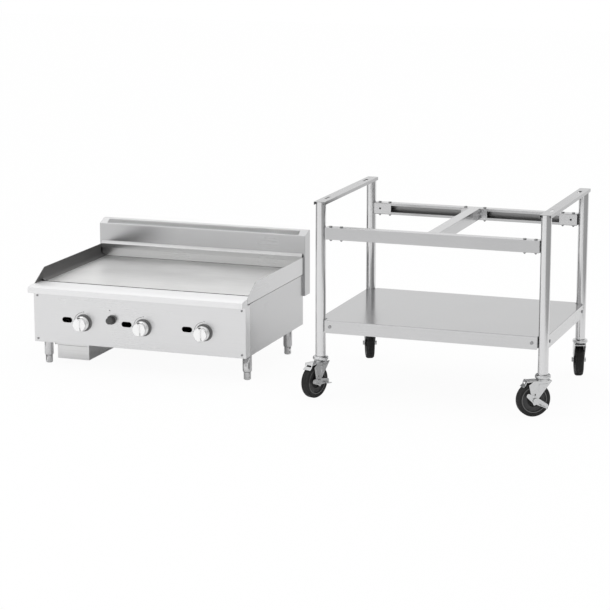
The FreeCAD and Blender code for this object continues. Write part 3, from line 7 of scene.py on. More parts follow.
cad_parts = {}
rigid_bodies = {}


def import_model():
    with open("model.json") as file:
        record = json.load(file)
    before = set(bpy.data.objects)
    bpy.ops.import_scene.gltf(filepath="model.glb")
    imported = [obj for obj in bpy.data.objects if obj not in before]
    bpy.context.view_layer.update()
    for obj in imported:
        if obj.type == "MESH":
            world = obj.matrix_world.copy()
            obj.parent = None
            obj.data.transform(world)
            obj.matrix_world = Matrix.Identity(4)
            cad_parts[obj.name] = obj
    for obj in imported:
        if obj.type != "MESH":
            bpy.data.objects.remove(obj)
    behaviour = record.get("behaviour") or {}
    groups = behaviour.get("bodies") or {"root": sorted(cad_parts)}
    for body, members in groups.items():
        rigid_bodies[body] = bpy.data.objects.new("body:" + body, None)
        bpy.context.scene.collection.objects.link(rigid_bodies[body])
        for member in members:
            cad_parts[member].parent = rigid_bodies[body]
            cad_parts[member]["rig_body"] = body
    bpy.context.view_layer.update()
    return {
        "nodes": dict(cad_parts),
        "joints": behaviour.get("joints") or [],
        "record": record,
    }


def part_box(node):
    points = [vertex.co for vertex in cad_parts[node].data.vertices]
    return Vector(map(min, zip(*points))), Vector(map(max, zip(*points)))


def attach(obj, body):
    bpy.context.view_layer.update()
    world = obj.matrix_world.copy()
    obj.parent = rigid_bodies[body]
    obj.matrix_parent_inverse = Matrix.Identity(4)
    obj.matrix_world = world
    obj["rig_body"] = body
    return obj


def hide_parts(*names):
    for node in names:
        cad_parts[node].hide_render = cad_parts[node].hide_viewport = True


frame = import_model()
nodes = frame["nodes"]
slot_of = {part["node"]: part["material_slot"] for part in frame["record"]["subparts"]}
spin_axis = {joint["child"]: Vector(joint["axis"]) for joint in frame["joints"]}

MM = 0.001
OUT = Vector((0.0, -1.0, 0.0))
UP = Vector((0.0, 0.0, 1.0))
CORNERS = ("front_left", "front_right", "rear_left", "rear_right")
KNOBS = ("left", "centre", "right")


def middle(node):
    low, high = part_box(node)
    return (low + high) / 2.0


# The stand's middle and the middle of the griddle's front panel, both on the floor
STAND = Vector((middle("posts").x, middle("posts").y, 0.0))
GRIDDLE = Vector((middle("front_panel").x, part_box("front_panel")[0].y, 0.0))


# Finishes

# Noise values lie between these two
NOISE_LOW = 0.3
NOISE_HIGH = 0.7


class Finish:
    """A procedural material on the piece's own coordinates."""

    def __init__(self, name, colour, metallic, roughness):
        self.mat = bpy.data.materials.new(name)
        self.mat.use_nodes = True
        self.tree = self.mat.node_tree
        self.shader = self.tree.nodes["Principled BSDF"]
        self.colour = colour
        self.roughness = roughness
        self.shader.inputs["Base Color"].default_value = (*colour, 1.0)
        self.shader.inputs["Metallic"].default_value = metallic
        self.shader.inputs["Roughness"].default_value = roughness
        self.coords = self.tree.nodes.new("ShaderNodeTexCoord")

    def link(self, start, end):
        self.tree.links.new(start, end)

    def noise(self, cells, detail=3.0):
        """Noise with a number of cells per metre in each direction."""
        mapping = self.tree.nodes.new("ShaderNodeMapping")
        mapping.inputs["Scale"].default_value = cells
        noise = self.tree.nodes.new("ShaderNodeTexNoise")
        noise.inputs["Scale"].default_value = 1.0
        noise.inputs["Detail"].default_value = detail
        self.link(self.coords.outputs["Object"], mapping.inputs["Vector"])
        self.link(mapping.outputs["Vector"], noise.inputs["Vector"])
        return noise.outputs["Fac"]

    def between(self, pattern, low, high):
        """The pattern's values spread from low to high."""
        span = self.tree.nodes.new("ShaderNodeMapRange")
        span.inputs["From Min"].default_value = NOISE_LOW
        span.inputs["From Max"].default_value = NOISE_HIGH
        span.inputs["To Min"].default_value = low
        span.inputs["To Max"].default_value = high
        self.link(pattern, span.inputs["Value"])
        return span.outputs["Result"]

    def sum(self, first, second):
        total = self.tree.nodes.new("ShaderNodeMath")
        total.operation = "ADD"
        self.link(first, total.inputs[0])
        self.link(second, total.inputs[1])
        return total.outputs[0]

    def shade(self, pattern, depth):
        """Tones of the base colour that follow a pattern."""
        ramp = self.tree.nodes.new("ShaderNodeValToRGB")
        ends = ramp.color_ramp.elements
        ends[0].position = NOISE_LOW
        ends[1].position = NOISE_HIGH
        ends[0].color = (*[c * (1.0 - depth) for c in self.colour], 1.0)
        ends[1].color = (*[min(1.0, c * (1.0 + depth)) for c in self.colour], 1.0)
        self.link(pattern, ramp.inputs["Fac"])
        self.link(ramp.outputs["Color"], self.shader.inputs["Base Color"])

    def gloss(self, pattern, spread):
        """Roughness that follows a pattern."""
        spread_out = self.between(pattern, self.roughness - spread, self.roughness + spread)
        self.link(spread_out, self.shader.inputs["Roughness"])

    def relief(self, pattern, height, strength=0.5):
        """Fine relief that follows a pattern."""
        bump = self.tree.nodes.new("ShaderNodeBump")
        bump.inputs["Strength"].default_value = strength
        bump.inputs["Distance"].default_value = height
        self.link(pattern, bump.inputs["Height"])
        self.link(bump.outputs["Normal"], self.shader.inputs["Normal"])


# Grain and clouds of brushed sheet: cells per metre, relief, and spread of the roughness
FINE = 420.0
LONG = 4.0
CLOUD_CELLS = (5.0, 5.0, 5.0)
CLOUD_DETAIL = 2.0
GRAIN_RELIEF = 0.00002
GRAIN_STRENGTH = 0.12
BRUSHED_SPREAD = 0.07
EVEN_SPREAD = 0.06

ALONG_X = (LONG, FINE, FINE)
ALONG_Y = (FINE, LONG, FINE)
ALONG_Z = (FINE, FINE, LONG)
GROUND_X = (12.0, 120.0, 120.0)


def brushed(name, colour, grain, roughness, depth):
    """Stainless sheet: grain along one direction, soft clouds and handling marks."""
    finish = Finish(name, colour, 1.0, roughness)
    streaks = finish.noise(grain)
    clouds = finish.noise(CLOUD_CELLS, CLOUD_DETAIL)
    tones = finish.sum(finish.between(streaks, 0.1, 0.4), finish.between(clouds, 0.1, 0.4))
    marks = finish.sum(finish.between(streaks, 0.2, 0.3), finish.between(clouds, 0.15, 0.35))
    finish.shade(tones, depth)
    finish.gloss(marks, BRUSHED_SPREAD)
    finish.relief(streaks, GRAIN_RELIEF, GRAIN_STRENGTH)
    return finish.mat


def even(name, colour, metallic, roughness, cells, depth, relief=0.0):
    """A finish with the same fine mottle in all directions."""
    finish = Finish(name, colour, metallic, roughness)
    mottle = finish.noise((cells, cells, cells))
    finish.shade(mottle, depth)
    finish.gloss(mottle, EVEN_SPREAD)
    if relief:
        finish.relief(mottle, relief)
    return finish.mat


# Brushed: name, colour, grain, roughness, depth of the tones.
# Even: name, colour, metallic, roughness, cells per metre, depth of the tones, relief.
# The stainless pieces are one steel given different colours, each set to how bright the piece
# looks in its light. This is painted light and shade: lighter on the ledge, drawer and front
# panel, darker on the side panels, flue, rails, shelf top and top bars.
FINISHES = {
    "sheet_x": brushed("brushed_sheet_along", (0.60, 0.60, 0.605), ALONG_X, 0.24, 0.03),
    "sheet_y": brushed("brushed_sheet_across", (0.53, 0.53, 0.535), ALONG_Y, 0.24, 0.03),
    "panel": brushed("brushed_front_panel", (0.72, 0.72, 0.725), ALONG_X, 0.30, 0.02),
    "ledge": brushed("brushed_ledge", (0.85, 0.85, 0.855), ALONG_X, 0.50, 0.02),
    # Darker grey of the splash steel: painted shade.
    "splash": brushed("splash_steel_painted_shade", (0.50, 0.50, 0.50), ALONG_X, 0.26, 0.03),
    "guard": brushed("brushed_guard", (0.60, 0.60, 0.605), ALONG_Y, 0.24, 0.03),
    # A dark copy of the guard steel for the guards' inner faces: painted shade.
    "guard_inner_painted_shade": brushed("guard_inside_painted_shade", (0.155, 0.154, 0.152), ALONG_Y, 0.55, 0.05),
    "flue": brushed("brushed_flue", (0.52, 0.52, 0.525), ALONG_X, 0.24, 0.03),
    "grille": brushed("flue_grille_sheet", (0.60, 0.60, 0.605), ALONG_X, 0.25, 0.02),
    # Near-black colour for the inner faces of the flue's walls.
    "flue_inside_dark": even("near_black_flue_inside", (0.035, 0.035, 0.035), 0.3, 0.70, 60.0, 0.3, 0.0002),
    "plate": brushed("ground_cooking_plate", (0.75, 0.75, 0.745), GROUND_X, 0.40, 0.04),
    "plate_edge": even("dark_plate_edge_and_painted_shade", (0.05, 0.05, 0.05), 1.0, 0.55, 200.0, 0.15, 0.0001),
    "drawer": brushed("drawer_sheet", (0.74, 0.74, 0.74), ALONG_X, 0.28, 0.03),
    "leg": brushed("brushed_leg_tube", (0.62, 0.62, 0.625), ALONG_Z, 0.20, 0.02),
    "knob": even("bright_cast_knob", (0.92, 0.92, 0.92), 1.0, 0.18, 200.0, 0.01),
    # Dark grey of the knob's pointer: painted shade of its notch.
    "pointer": even("pointer_notch_painted_shade", (0.06, 0.06, 0.06), 0.0, 0.45, 400.0, 0.1),
    "bezel": even("grey_bezel", (0.135, 0.135, 0.135), 0.0, 0.30, 300.0, 0.05, 0.00002),
    "print": even("dial_print", (0.16, 0.16, 0.16), 0.0, 0.60, 400.0, 0.1),
    "igniter": even("charcoal_moulding", (0.06, 0.06, 0.06), 0.0, 0.30, 400.0, 0.1, 0.00002),
    "black": even("black_moulding", (0.026, 0.026, 0.026), 0.0, 0.32, 400.0, 0.2, 0.00005),
    "tube": brushed("polished_tube", (0.71, 0.71, 0.715), ALONG_Z, 0.18, 0.015),
    "top_bar": brushed("brushed_top_bar", (0.40, 0.40, 0.405), ALONG_Y, 0.22, 0.03),
    "rail": brushed("brushed_rail", (0.52, 0.52, 0.525), ALONG_X, 0.24, 0.03),
    # A darker copy of the steel for the inside of the rear rail's channel: painted shade.
    "channel_inside_painted_shade": brushed("rail_channel_painted_shade", (0.30, 0.30, 0.30), ALONG_X, 0.35, 0.05),
    # The shelf's top is a darker copy of the sheet colour: painted shade.
    "shelf": brushed("glossy_shelf_top_painted_shade", (0.41, 0.41, 0.415), ALONG_X, 0.17, 0.02),
    "zinc": even("zinc_plated_pressing", (0.63, 0.635, 0.64), 1.0, 0.22, 90.0, 0.02),
    "fastener": even("bright_fastener", (0.33, 0.33, 0.335), 1.0, 0.22, 300.0, 0.05),
    "rubber": even("tyre_rubber", (0.006, 0.006, 0.006), 0.0, 0.55, 300.0, 0.25, 0.0001),
    "hub": even("wheel_moulding", (0.034, 0.034, 0.035), 0.0, 0.45, 250.0, 0.12, 0.00005),
    # Near black for the wheel's eye and the fork patches: painted shade.
    "recess": even("wheel_eye_shade", (0.004, 0.004, 0.004), 0.0, 0.60, 250.0, 0.12),
    # Lighter grey of the wheel's rim ring: painted highlight.
    "ring": even("rim_ring_painted_highlight", (0.13, 0.13, 0.13), 0.0, 0.35, 250.0, 0.08),
    "brass": even("valve_brass", (0.60, 0.44, 0.20), 1.0, 0.35, 150.0, 0.08, 0.0001),
    "pipe": even("black_iron_pipe", (0.030, 0.030, 0.031), 0.4, 0.50, 200.0, 0.2, 0.0002),
    "burner": even("burner_steel", (0.26, 0.25, 0.24), 1.0, 0.50, 90.0, 0.12, 0.0001),
    "inner": even("aluminised_steel", (0.36, 0.36, 0.36), 1.0, 0.45, 140.0, 0.08, 0.0001),
}

SLOT_FINISH = {
    "stainless": "sheet_x", "plate_steel": "plate", "drawer_steel": "drawer",
    "leg_steel": "tube", "zinc_plated": "zinc", "fastener_steel": "fastener",
    "knob_metal": "knob", "black_plastic": "black", "burner_steel": "burner",
    "inner_steel": "inner", "valve_brass": "brass", "pipe_steel": "pipe",
    "tyre": "rubber", "wheel_hub": "hub",
}
NODE_FINISH = {
    "front_panel": "panel", "front_ledge": "ledge", "rear_splash": "splash",
    "side_panel_left": "sheet_y", "side_panel_right": "sheet_y",
    "guard_left": "guard", "guard_right": "guard", "flue_riser": "flue",
    # The grease trough takes the dark burner steel: partly its own used tone, partly painted
    # shade of its deep slot.
    "flue_grille": "grille", "grease_trough": "burner", "griddle_legs": "leg",
    "knob_bezels": "bezel", "igniter_body": "igniter", "igniter_button": "igniter",
    "posts": "tube", "top_bar_left": "top_bar", "top_bar_right": "top_bar", "front_rail": "rail",
    "rear_rail": "rail", "cross_beam": "sheet_y", "shelf": "shelf",
}
NODE_FINISH.update({"foot_" + corner: "leg" for corner in CORNERS})


def finish_of(node):
    return FINISHES[NODE_FINISH.get(node, SLOT_FINISH[slot_of[node]])]


# Pieces

# Edges sharper than these angles stay crisp
CRISP_TURNED = 35.0
CRISP_FOLDED = 50.0
# A face looks in a direction when its normal goes this far that way
FACING = 0.7
SAME_PLACE = 0.000001


def piece(name, bm, finish, body, replaced=(), crisp=CRISP_TURNED, even_faces=False):
    """Makes a mesh a piece of the griddle or the stand, riding on a body."""
    mesh = bpy.data.meshes.new(name)
    bm.to_mesh(mesh)
    bm.free()
    mesh.shade_smooth()
    mesh.set_sharp_from_angle(angle=math.radians(crisp))
    mesh.materials.append(finish)
    obj = bpy.data.objects.new(name, mesh)
    bpy.context.scene.collection.objects.link(obj)
    if even_faces:
        shading = obj.modifiers.new("even_faces", "WEIGHTED_NORMAL")
        shading.keep_sharp = True
    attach(obj, body)
    if replaced:
        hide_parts(*replaced)
    return obj


def second_finish(obj, finish, chosen):
    """Gives the chosen faces of a piece a finish of their own."""
    obj.data.materials.append(finish)
    for face in obj.data.polygons:
        if chosen(face):
            face.material_index = 1


def joined_copy(node):
    """A node's mesh with its triangles joined up into whole faces."""
    bm = bmesh.new()
    bm.from_mesh(nodes[node].data)
    bmesh.ops.remove_doubles(bm, verts=bm.verts, dist=0.00001)
    bmesh.ops.dissolve_limit(bm, angle_limit=math.radians(0.5), verts=bm.verts, edges=bm.edges,
                             use_dissolve_boundaries=False)
    return bm


def reach(face, edge):
    """How far a face goes from one of its edges."""
    length = edge.calc_length()
    return face.calc_area() / length if length > 0.0 else 0.0


LEAST_FOLD_ANGLE = 25.0
LEAST_FOLD_LENGTH = 4.0 * MM


def folds(bm, least, inward):
    """Sharp edges between two broad faces, such as a fold in a sheet."""
    found = []
    for edge in bm.edges:
        if not edge.is_manifold or edge.is_convex == inward:
            continue
        if edge.calc_face_angle(0.0) < math.radians(LEAST_FOLD_ANGLE):
            continue
        if edge.calc_length() < LEAST_FOLD_LENGTH:
            continue
        if min(reach(face, edge) for face in edge.link_faces) > least:
            found.append(edge)
    return found


def soften(bm, edges, width, steps):
    if edges:
        bmesh.ops.bevel(bm, geom=edges, offset=width, offset_type="OFFSET", segments=steps,
                        profile=0.5, affect="EDGES", clamp_overlap=True, material=-1)


def dress(node, outer=0.0, inner=0.0, edge=0.0):
    """A node's own shape with rounded folds and broken edges."""
    bm = joined_copy(node)
    for width, inward, steps in ((outer, False, 3), (inner, True, 2), (edge, False, 1)):
        if width:
            soften(bm, folds(bm, 2.0 * width, inward), width, steps)
    return piece(node + "_dressed", bm, finish_of(node), nodes[node]["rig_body"],
                 (node,), CRISP_FOLDED, True)


def turned(profile, steps=64, closed=False):
    """Spins (radius, height) points in millimetres about the Z axis."""
    bm = bmesh.new()
    ring = [bm.verts.new((radius * MM, 0.0, height * MM)) for radius, height in profile]
    edges = [bm.edges.new(pair) for pair in zip(ring, ring[1:])]
    if closed:
        edges.append(bm.edges.new((ring[-1], ring[0])))
    bmesh.ops.spin(bm, geom=ring + edges, cent=(0, 0, 0), axis=(0, 0, 1),
                   angle=2.0 * math.pi, steps=steps, use_merge=True)
    bmesh.ops.remove_doubles(bm, verts=bm.verts, dist=SAME_PLACE)
    bmesh.ops.recalc_face_normals(bm, faces=bm.faces)
    return bm


def both_sides(half):
    """A closed profile from its upper half."""
    return half + [(radius, -height) for radius, height in reversed(half)]


def stand_up(bm, place, axis, up=UP):
    """Turns a shape's Z to an axis and its Y to up, and moves it to its place."""
    z = Vector(axis).normalized()
    x = Vector(up).cross(z).normalized()
    y = z.cross(x)
    turn = Matrix((x, y, z)).transposed().to_4x4()
    bm.transform(Matrix.Translation(place) @ turn)
    return bm


def join(shapes):
    """Puts several shapes in one mesh."""
    whole = shapes[0]
    for shape in shapes[1:]:
        mesh = bpy.data.meshes.new("joining")
        shape.to_mesh(mesh)
        shape.free()
        whole.from_mesh(mesh)
        bpy.data.meshes.remove(mesh)
    return whole


def block(width, depth, height, centre=(0, 0, 0), edge=0.0):
    """A box in millimetres with broken edges."""
    bm = bmesh.new()
    bmesh.ops.create_cube(bm, size=1.0)
    bmesh.ops.scale(bm, vec=(width * MM, depth * MM, height * MM), verts=bm.verts)
    bmesh.ops.translate(bm, vec=Vector(centre) * MM, verts=bm.verts)
    if edge:
        soften(bm, list(bm.edges), edge * MM, 2)
    return bm


# Knobs and dials, in millimetres from the knob's axis and from the panel's face

KNOB_STEPS = 120
KNOB_BACK = 14.0
# The face lies this far behind the top of the grip
FACE_DROP = 4.4
FACE_RINGS = 44
FACE_EDGE = 3.4
GRIP_HALF = 2.6
GRIP_FLARE = 3.6
GRIP_SLOPE = 2.4
GRIP_RISE = 4.2
SCOOP_DEPTH = 2.4
SCOOP_EASE = 0.55
RIM_START = 0.97
RIM_WIDTH = 0.12


def face_lift(x, y, radius):
    """How far the knob's face rises or sinks at a point."""
    half = GRIP_HALF + GRIP_FLARE * (y / radius) ** 2
    along = min(1.0, max(0.0, (abs(x) - half) / GRIP_SLOPE))
    grip = 1.0 - along * along * (3.0 - 2.0 * along)
    fade = min(1.0, max(0.0, (RIM_START - math.hypot(x, y) / radius) / RIM_WIDTH))
    scoop = SCOOP_DEPTH * fade * (1.0 - grip) * (1.0 - SCOOP_EASE * abs(x) / radius)
    return GRIP_RISE * grip * fade - scoop


def knob(name):
    """Bright knob: stepped skirt, two shallow scoops that leave a grip, and a dark grey pointer
    at the top, painted as the shade of its notch.
    """
    node = "knob_" + name
    low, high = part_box(node)
    radius = (high.x - low.x) / 2.0 / MM
    front = (GRIDDLE.y - low.y) / MM
    back = KNOB_BACK
    profile = [(0.0, back - 10.0), (7.5, back - 10.0), (7.5, back), (radius - 2.0, back),
               (radius, back + 1.5), (radius, back + 12.0), (radius - 0.7, back + 13.5),
               (radius - 3.0, back + 14.2), (radius - 3.0, back + 18.0),
               (radius - 0.6, back + 19.0), (radius - 0.2, back + 20.5),
               (radius - 0.4, front - 8.0), (radius - 1.0, front - 6.0),
               (radius - 2.2, front - 4.6)]
    face = front - FACE_DROP
    profile += [((radius - FACE_EDGE) * (1.0 - i / FACE_RINGS), face)
                for i in range(FACE_RINGS)]
    profile.append((0.0, face))
    bm = turned(profile, KNOB_STEPS)
    for vert in bm.verts:
        if vert.co.z / MM > face - 0.1:
            vert.co.z += face_lift(vert.co.x / MM, vert.co.y / MM, radius) * MM
    bmesh.ops.recalc_face_normals(bm, faces=bm.faces)
    place = Vector((middle(node).x, GRIDDLE.y, (low.z + high.z) / 2.0))
    stand_up(bm, place, OUT)
    piece("knob_body_" + name, bm, FINISHES["knob"], node, (node,),
          CRISP_FOLDED)
    pointer = join([block(9.0, 3.6, 8.0, (0.0, radius - 2.3, front - 4.4), 0.8),
                    block(3.4, 7.0, 5.0, (0.0, radius - 6.0, front - 2.6), 0.6)])
    stand_up(pointer, place, OUT)
    piece("knob_pointer_" + name, pointer, FINISHES["pointer"], node)
    return place


PRINT = 0.25
LINE = 1.5
ARC_RADIUS = 40.2
ARC_START = 97.0
ARC_END = 178.0
ARC_STEPS = 24
TICK_LENGTH = 8.0
TICK_MIDDLE = 45.0
DOT_RADIUS = 2.0
DOT_HEIGHT = 43.0
SPARK_DOT_RADIUS = 2.6
# From the middle of the panel, and above the floor
SPARK_DOT_X = -120.0
SPARK_DOT_Z = 247.0


def printed_arc():
    """A flat line along an arc, angles counted from the right."""
    bm = bmesh.new()
    outside = ARC_RADIUS + LINE
    corners = [(ARC_RADIUS, 0.0), (outside, 0.0), (outside, PRINT), (ARC_RADIUS, PRINT)]
    verts = [bm.verts.new((r * MM, 0.0, z * MM)) for r, z in corners]
    face = bm.faces.new(verts)
    bmesh.ops.rotate(bm, cent=(0, 0, 0), verts=bm.verts,
                     matrix=Matrix.Rotation(math.radians(ARC_START), 3, "Z"))
    bmesh.ops.spin(bm, geom=verts + list(bm.edges) + [face], cent=(0, 0, 0), axis=(0, 0, 1),
                   angle=math.radians(ARC_END - ARC_START), steps=ARC_STEPS,
                   use_merge=False)
    bmesh.ops.remove_doubles(bm, verts=bm.verts, dist=SAME_PLACE)
    bmesh.ops.recalc_face_normals(bm, faces=bm.faces)
    return bm


def printed_dot(radius):
    return turned([(0.0, 0.0), (radius, 0.0), (radius, PRINT), (0.0, PRINT)], 20)


def dial(place):
    """The printed arc round a knob, its tick on the left and its dot on top."""
    tick = block(TICK_LENGTH, LINE, PRINT, (-TICK_MIDDLE, LINE, 0.12))
    dot = printed_dot(DOT_RADIUS)
    bmesh.ops.translate(dot, vec=(0.0, DOT_HEIGHT * MM, 0.0), verts=dot.verts)
    return stand_up(join([printed_arc(), tick, dot]), place, OUT)


SCREW_HEAD_RADIUS = 4.2
SLOT_LENGTH = 4.6
SLOT_WIDTH = 0.9
SLOT_DEPTH = 0.3
SLOT_LEAN = (0.3, 0.0, 1.0)


def screw_slot_painted_shade():
    """Flat black crosses on the four panel screws, painted as the shade of their cross slots."""
    low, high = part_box("panel_screws")
    inset = SCREW_HEAD_RADIUS * MM
    crosses = []
    for x in (low.x + inset, high.x - inset):
        for z in (low.z + inset, high.z - inset):
            cross = join([block(SLOT_LENGTH, SLOT_WIDTH, SLOT_DEPTH),
                          block(SLOT_WIDTH, SLOT_LENGTH, SLOT_DEPTH)])
            crosses.append(stand_up(cross, Vector((x, low.y, z)), OUT, SLOT_LEAN))
    piece("screw_slot_painted_shade", join(crosses), FINISHES["black"], "station")


places = [knob(name) for name in KNOBS]
spark_place = Vector((GRIDDLE.x + SPARK_DOT_X * MM, GRIDDLE.y, SPARK_DOT_Z * MM))
spark = stand_up(printed_dot(SPARK_DOT_RADIUS), spark_place, OUT)
piece("dial_marks", join([dial(place) for place in places] + [spark]), FINISHES["print"],
      "station")
screw_slot_painted_shade()


# Wheels, in millimetres from the wheel's middle: (radius, half width)

TYRE_STEPS = 144
TYRE_HALF = [(48.6, 14.6), (50.5, 15.6), (54.0, 16.0), (54.6, 16.0), (55.2, 15.2),
             (56.4, 15.2), (57.0, 15.8), (58.6, 15.4), (60.6, 13.8), (61.9, 12.0),
             (62.9, 10.2), (63.4, 8.8), (63.4, 8.0), (62.2, 7.7), (62.2, 6.9), (63.5, 6.6),
             (63.5, 3.2), (62.3, 2.9), (62.3, 2.1), (63.5, 1.8)]
SHOULDER_LOW = 11.1
SHOULDER_HIGH = 13.0
SHOULDER_RADIUS = 60.5
NOTCH_MARGIN = 0.25 * MM
NOTCH_DEPTH = 0.9 * MM
HUB_STEPS = 96
HUB_HALF = [(6.1, 18.6), (13.4, 18.6), (15.0, 17.4), (15.6, 6.2), (24.0, 5.4), (25.2, 6.6),
            (26.2, 9.4), (38.0, 7.6), (43.0, 8.6), (44.8, 13.2), (48.4, 13.2)]
EYE_INSIDE = 13.0 * MM
EYE_OUTSIDE = 25.5 * MM
RIM_RING = [(45.2, 13.0), (45.6, 14.0), (48.2, 14.0), (48.5, 13.0)]


def tyre(corner):
    """Tyre with a grooved tread, notched shoulders and a raised line on each side."""
    bm = turned(both_sides(TYRE_HALF), TYRE_STEPS, True)
    notches = []
    for face in bm.faces:
        centre = face.calc_center_median()
        step = math.floor(math.atan2(centre.y, centre.x) / (2.0 * math.pi) * TYRE_STEPS)
        on_shoulder = SHOULDER_LOW < abs(centre.z) / MM < SHOULDER_HIGH
        if on_shoulder and centre.xy.length / MM > SHOULDER_RADIUS and step % 2 == 0:
            notches.append(face)
    bmesh.ops.inset_individual(bm, faces=notches, thickness=NOTCH_MARGIN, depth=-NOTCH_DEPTH)
    body = "wheel_" + corner
    node = "tyre_" + corner
    stand_up(bm, middle(node), spin_axis[body])
    piece("tyre_tread_" + corner, bm, FINISHES["rubber"], body, (node,), 40.0)


def hub(corner):
    """Moulded wheel centre: dished web, a deep eye painted near black as its shade, and a raised
    rim ring painted lighter as its highlight.
    """
    body = "wheel_" + corner
    node = "hub_" + corner
    centre = middle(node)
    axis = spin_axis[body]
    bm = stand_up(turned(both_sides(HUB_HALF), HUB_STEPS, True), centre, axis)
    wheel = piece("wheel_centre_" + corner, bm, FINISHES["hub"], body, (node,))
    second_finish(wheel, FINISHES["recess"], lambda face:
                  EYE_INSIDE < (face.center - centre).cross(axis).length < EYE_OUTSIDE)
    rings = [stand_up(turned(RIM_RING, HUB_STEPS, True), centre, axis * side)
             for side in (1.0, -1.0)]
    piece("rim_ring_painted_highlight_" + corner, join(rings), FINISHES["ring"], body)


for corner in CORNERS:
    tyre(corner)
    hub(corner)


# Sheet metal, tubes and pressings

FOLD_OUTSIDE = 2.2 * MM
FOLD_INSIDE = 0.8 * MM
NOSE_OUTSIDE = 3.0 * MM
NOSE_INSIDE = 1.5 * MM
BROKEN_EDGE = 0.8 * MM
RAIL_WEB_DEPTH = 8.0 * MM

FOLDED = ("front_panel", "side_panel_left", "side_panel_right", "flue_riser", "top_bar_left",
          "top_bar_right", "front_rail", "rear_rail", "cross_beam", "shelf", "grease_drawer")
sheets = {name: dress(name, FOLD_OUTSIDE, FOLD_INSIDE) for name in FOLDED}
# The shelf's sides keep the plain sheet colour, lighter than its top, whose darker colour is
# painted shade.
second_finish(sheets["shelf"], FINISHES["sheet_x"],
              lambda face: abs(face.normal.z) < FACING)
dress("front_ledge", NOSE_OUTSIDE, NOSE_INSIDE)

# The inside of the rear rail's channel takes the darker copy of the steel: painted shade.
rail_web_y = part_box("rear_rail")[0].y + RAIL_WEB_DEPTH
second_finish(sheets["rear_rail"], FINISHES["channel_inside_painted_shade"],
              lambda face: face.normal.y < -FACING and face.center.y > rail_web_y)


def inside_flue(face):
    """True for the inner faces of the flue's walls."""
    low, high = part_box("flue_riser")
    within = all(low[i] + MM < face.center[i] < high[i] - MM for i in (0, 1))
    return within and face.center.z > low.z + MM


# The flue's walls are near black on their inner faces.
second_finish(sheets["flue_riser"], FINISHES["flue_inside_dark"], inside_flue)

EDGED = ["rear_splash", "stand_bolts", "panel_screws", "knob_bezels", "igniter_body", "posts",
         "griddle_legs"]
EDGED += ["foot_" + corner for corner in CORNERS]
EDGED += [name for name in nodes if name.startswith(("caster", "brake"))]
for name in EDGED:
    dress(name, edge=BROKEN_EDGE)


# Caster forks, in millimetres from the wheel's middle: rib outline, and its start and rise
RIB_OUTLINE = [(13.0, 60.0), (49.0, 60.0), (27.0, 31.0), (13.0, 31.0)]
RIB_START = 21.4
RIB_RISE = 1.3
RIB_ROUNDING = 1.0
# A flat dark patch on each arm stands for a small square hole: painted shade. Its size and place
# are in millimetres.
FORK_HOLE = (4.0, 7.0, 0.3)
FORK_HOLE_PLACE = (0.0, 21.0, 21.5)


def fork_rib(toward):
    """A raised rib on one arm, on the side of the wheel that the fork leans to."""
    bm = bmesh.new()
    verts = [bm.verts.new((toward * x * MM, z * MM, RIB_START * MM)) for x, z in RIB_OUTLINE]
    face = bm.faces.new(verts)
    raised = bmesh.ops.extrude_face_region(bm, geom=[face])["geom"]
    top = [item for item in raised if isinstance(item, bmesh.types.BMVert)]
    bmesh.ops.translate(bm, vec=(0.0, 0.0, RIB_RISE * MM), verts=top)
    bmesh.ops.recalc_face_normals(bm, faces=bm.faces)
    crest = [edge for edge in bm.edges if all(vert in top for vert in edge.verts)]
    soften(bm, crest, RIB_ROUNDING * MM, 3)
    return bm


def fork_pressings(corner):
    """The raised rib, and a flat dark patch painted as the shade of a small square hole, on both
    arms of a caster fork.
    """
    centre = middle("tyre_" + corner)
    fork = middle("caster_fork_" + corner)
    axle = spin_axis["wheel_" + corner]
    lean = 1.0 if UP.cross(axle).dot(centre - fork) < 0.0 else -1.0
    ribs = []
    holes = []
    for side in (1.0, -1.0):
        ribs.append(stand_up(fork_rib(lean * side), centre, axle * side))
        holes.append(stand_up(block(*FORK_HOLE, FORK_HOLE_PLACE), centre, axle * side))
    body = nodes["caster_fork_" + corner]["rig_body"]
    piece("fork_ribs_" + corner, join(ribs), FINISHES["zinc"], body, (),
          CRISP_FOLDED, True)
    piece("fork_hole_painted_shade_" + corner, join(holes), FINISHES["recess"], body)


for corner in CORNERS:
    fork_pressings(corner)

GUARDS = {"guard_left": 1.0, "guard_right": -1.0}
for name, inward in GUARDS.items():
    guard = dress(name, edge=BROKEN_EDGE)
    # The guards' inner faces take the dark copy of their steel: painted shade.
    second_finish(guard, FINISHES["guard_inner_painted_shade"], lambda face: face.normal.x * inward > 0.1)


def cooking_plate():
    """Ground top face over near-black sides and underside: partly the rolled edges' own dark
    tone, partly painted shade of the slot in front.
    """
    bm = joined_copy("griddle_plate")
    soften(bm, folds(bm, 2.0 * MM, False), 1.0 * MM, 2)
    obj = piece("cooking_plate", bm, FINISHES["plate"], "station",
                ("griddle_plate",), CRISP_FOLDED, True)
    second_finish(obj, FINISHES["plate_edge"], lambda face: face.normal.z < FACING)


cooking_plate()

# Every other solid keeps its own mesh and takes its finish
replaced = set(FOLDED) | set(EDGED) | set(GUARDS) | {"front_ledge", "griddle_plate"}
replaced |= {"knob_" + name for name in KNOBS}
replaced |= {kind + corner for kind in ("tyre_", "hub_") for corner in CORNERS}
for name in nodes:
    if name not in replaced:
        nodes[name].data.materials.clear()
        nodes[name].data.materials.append(finish_of(name))


# Studio

WHITE = (1.0, 1.0, 1.0, 1.0)
FLOOR_TONE = (0.90, 0.90, 0.90, 1.0)
FLOOR_SIZE = 30.0
FLOOR_DROP = 0.0005
# How white the floor is to the camera, and how much it glows in mirrors
FLOOR_SEEN = 0.95
FLOOR_MIRRORED = 0.05
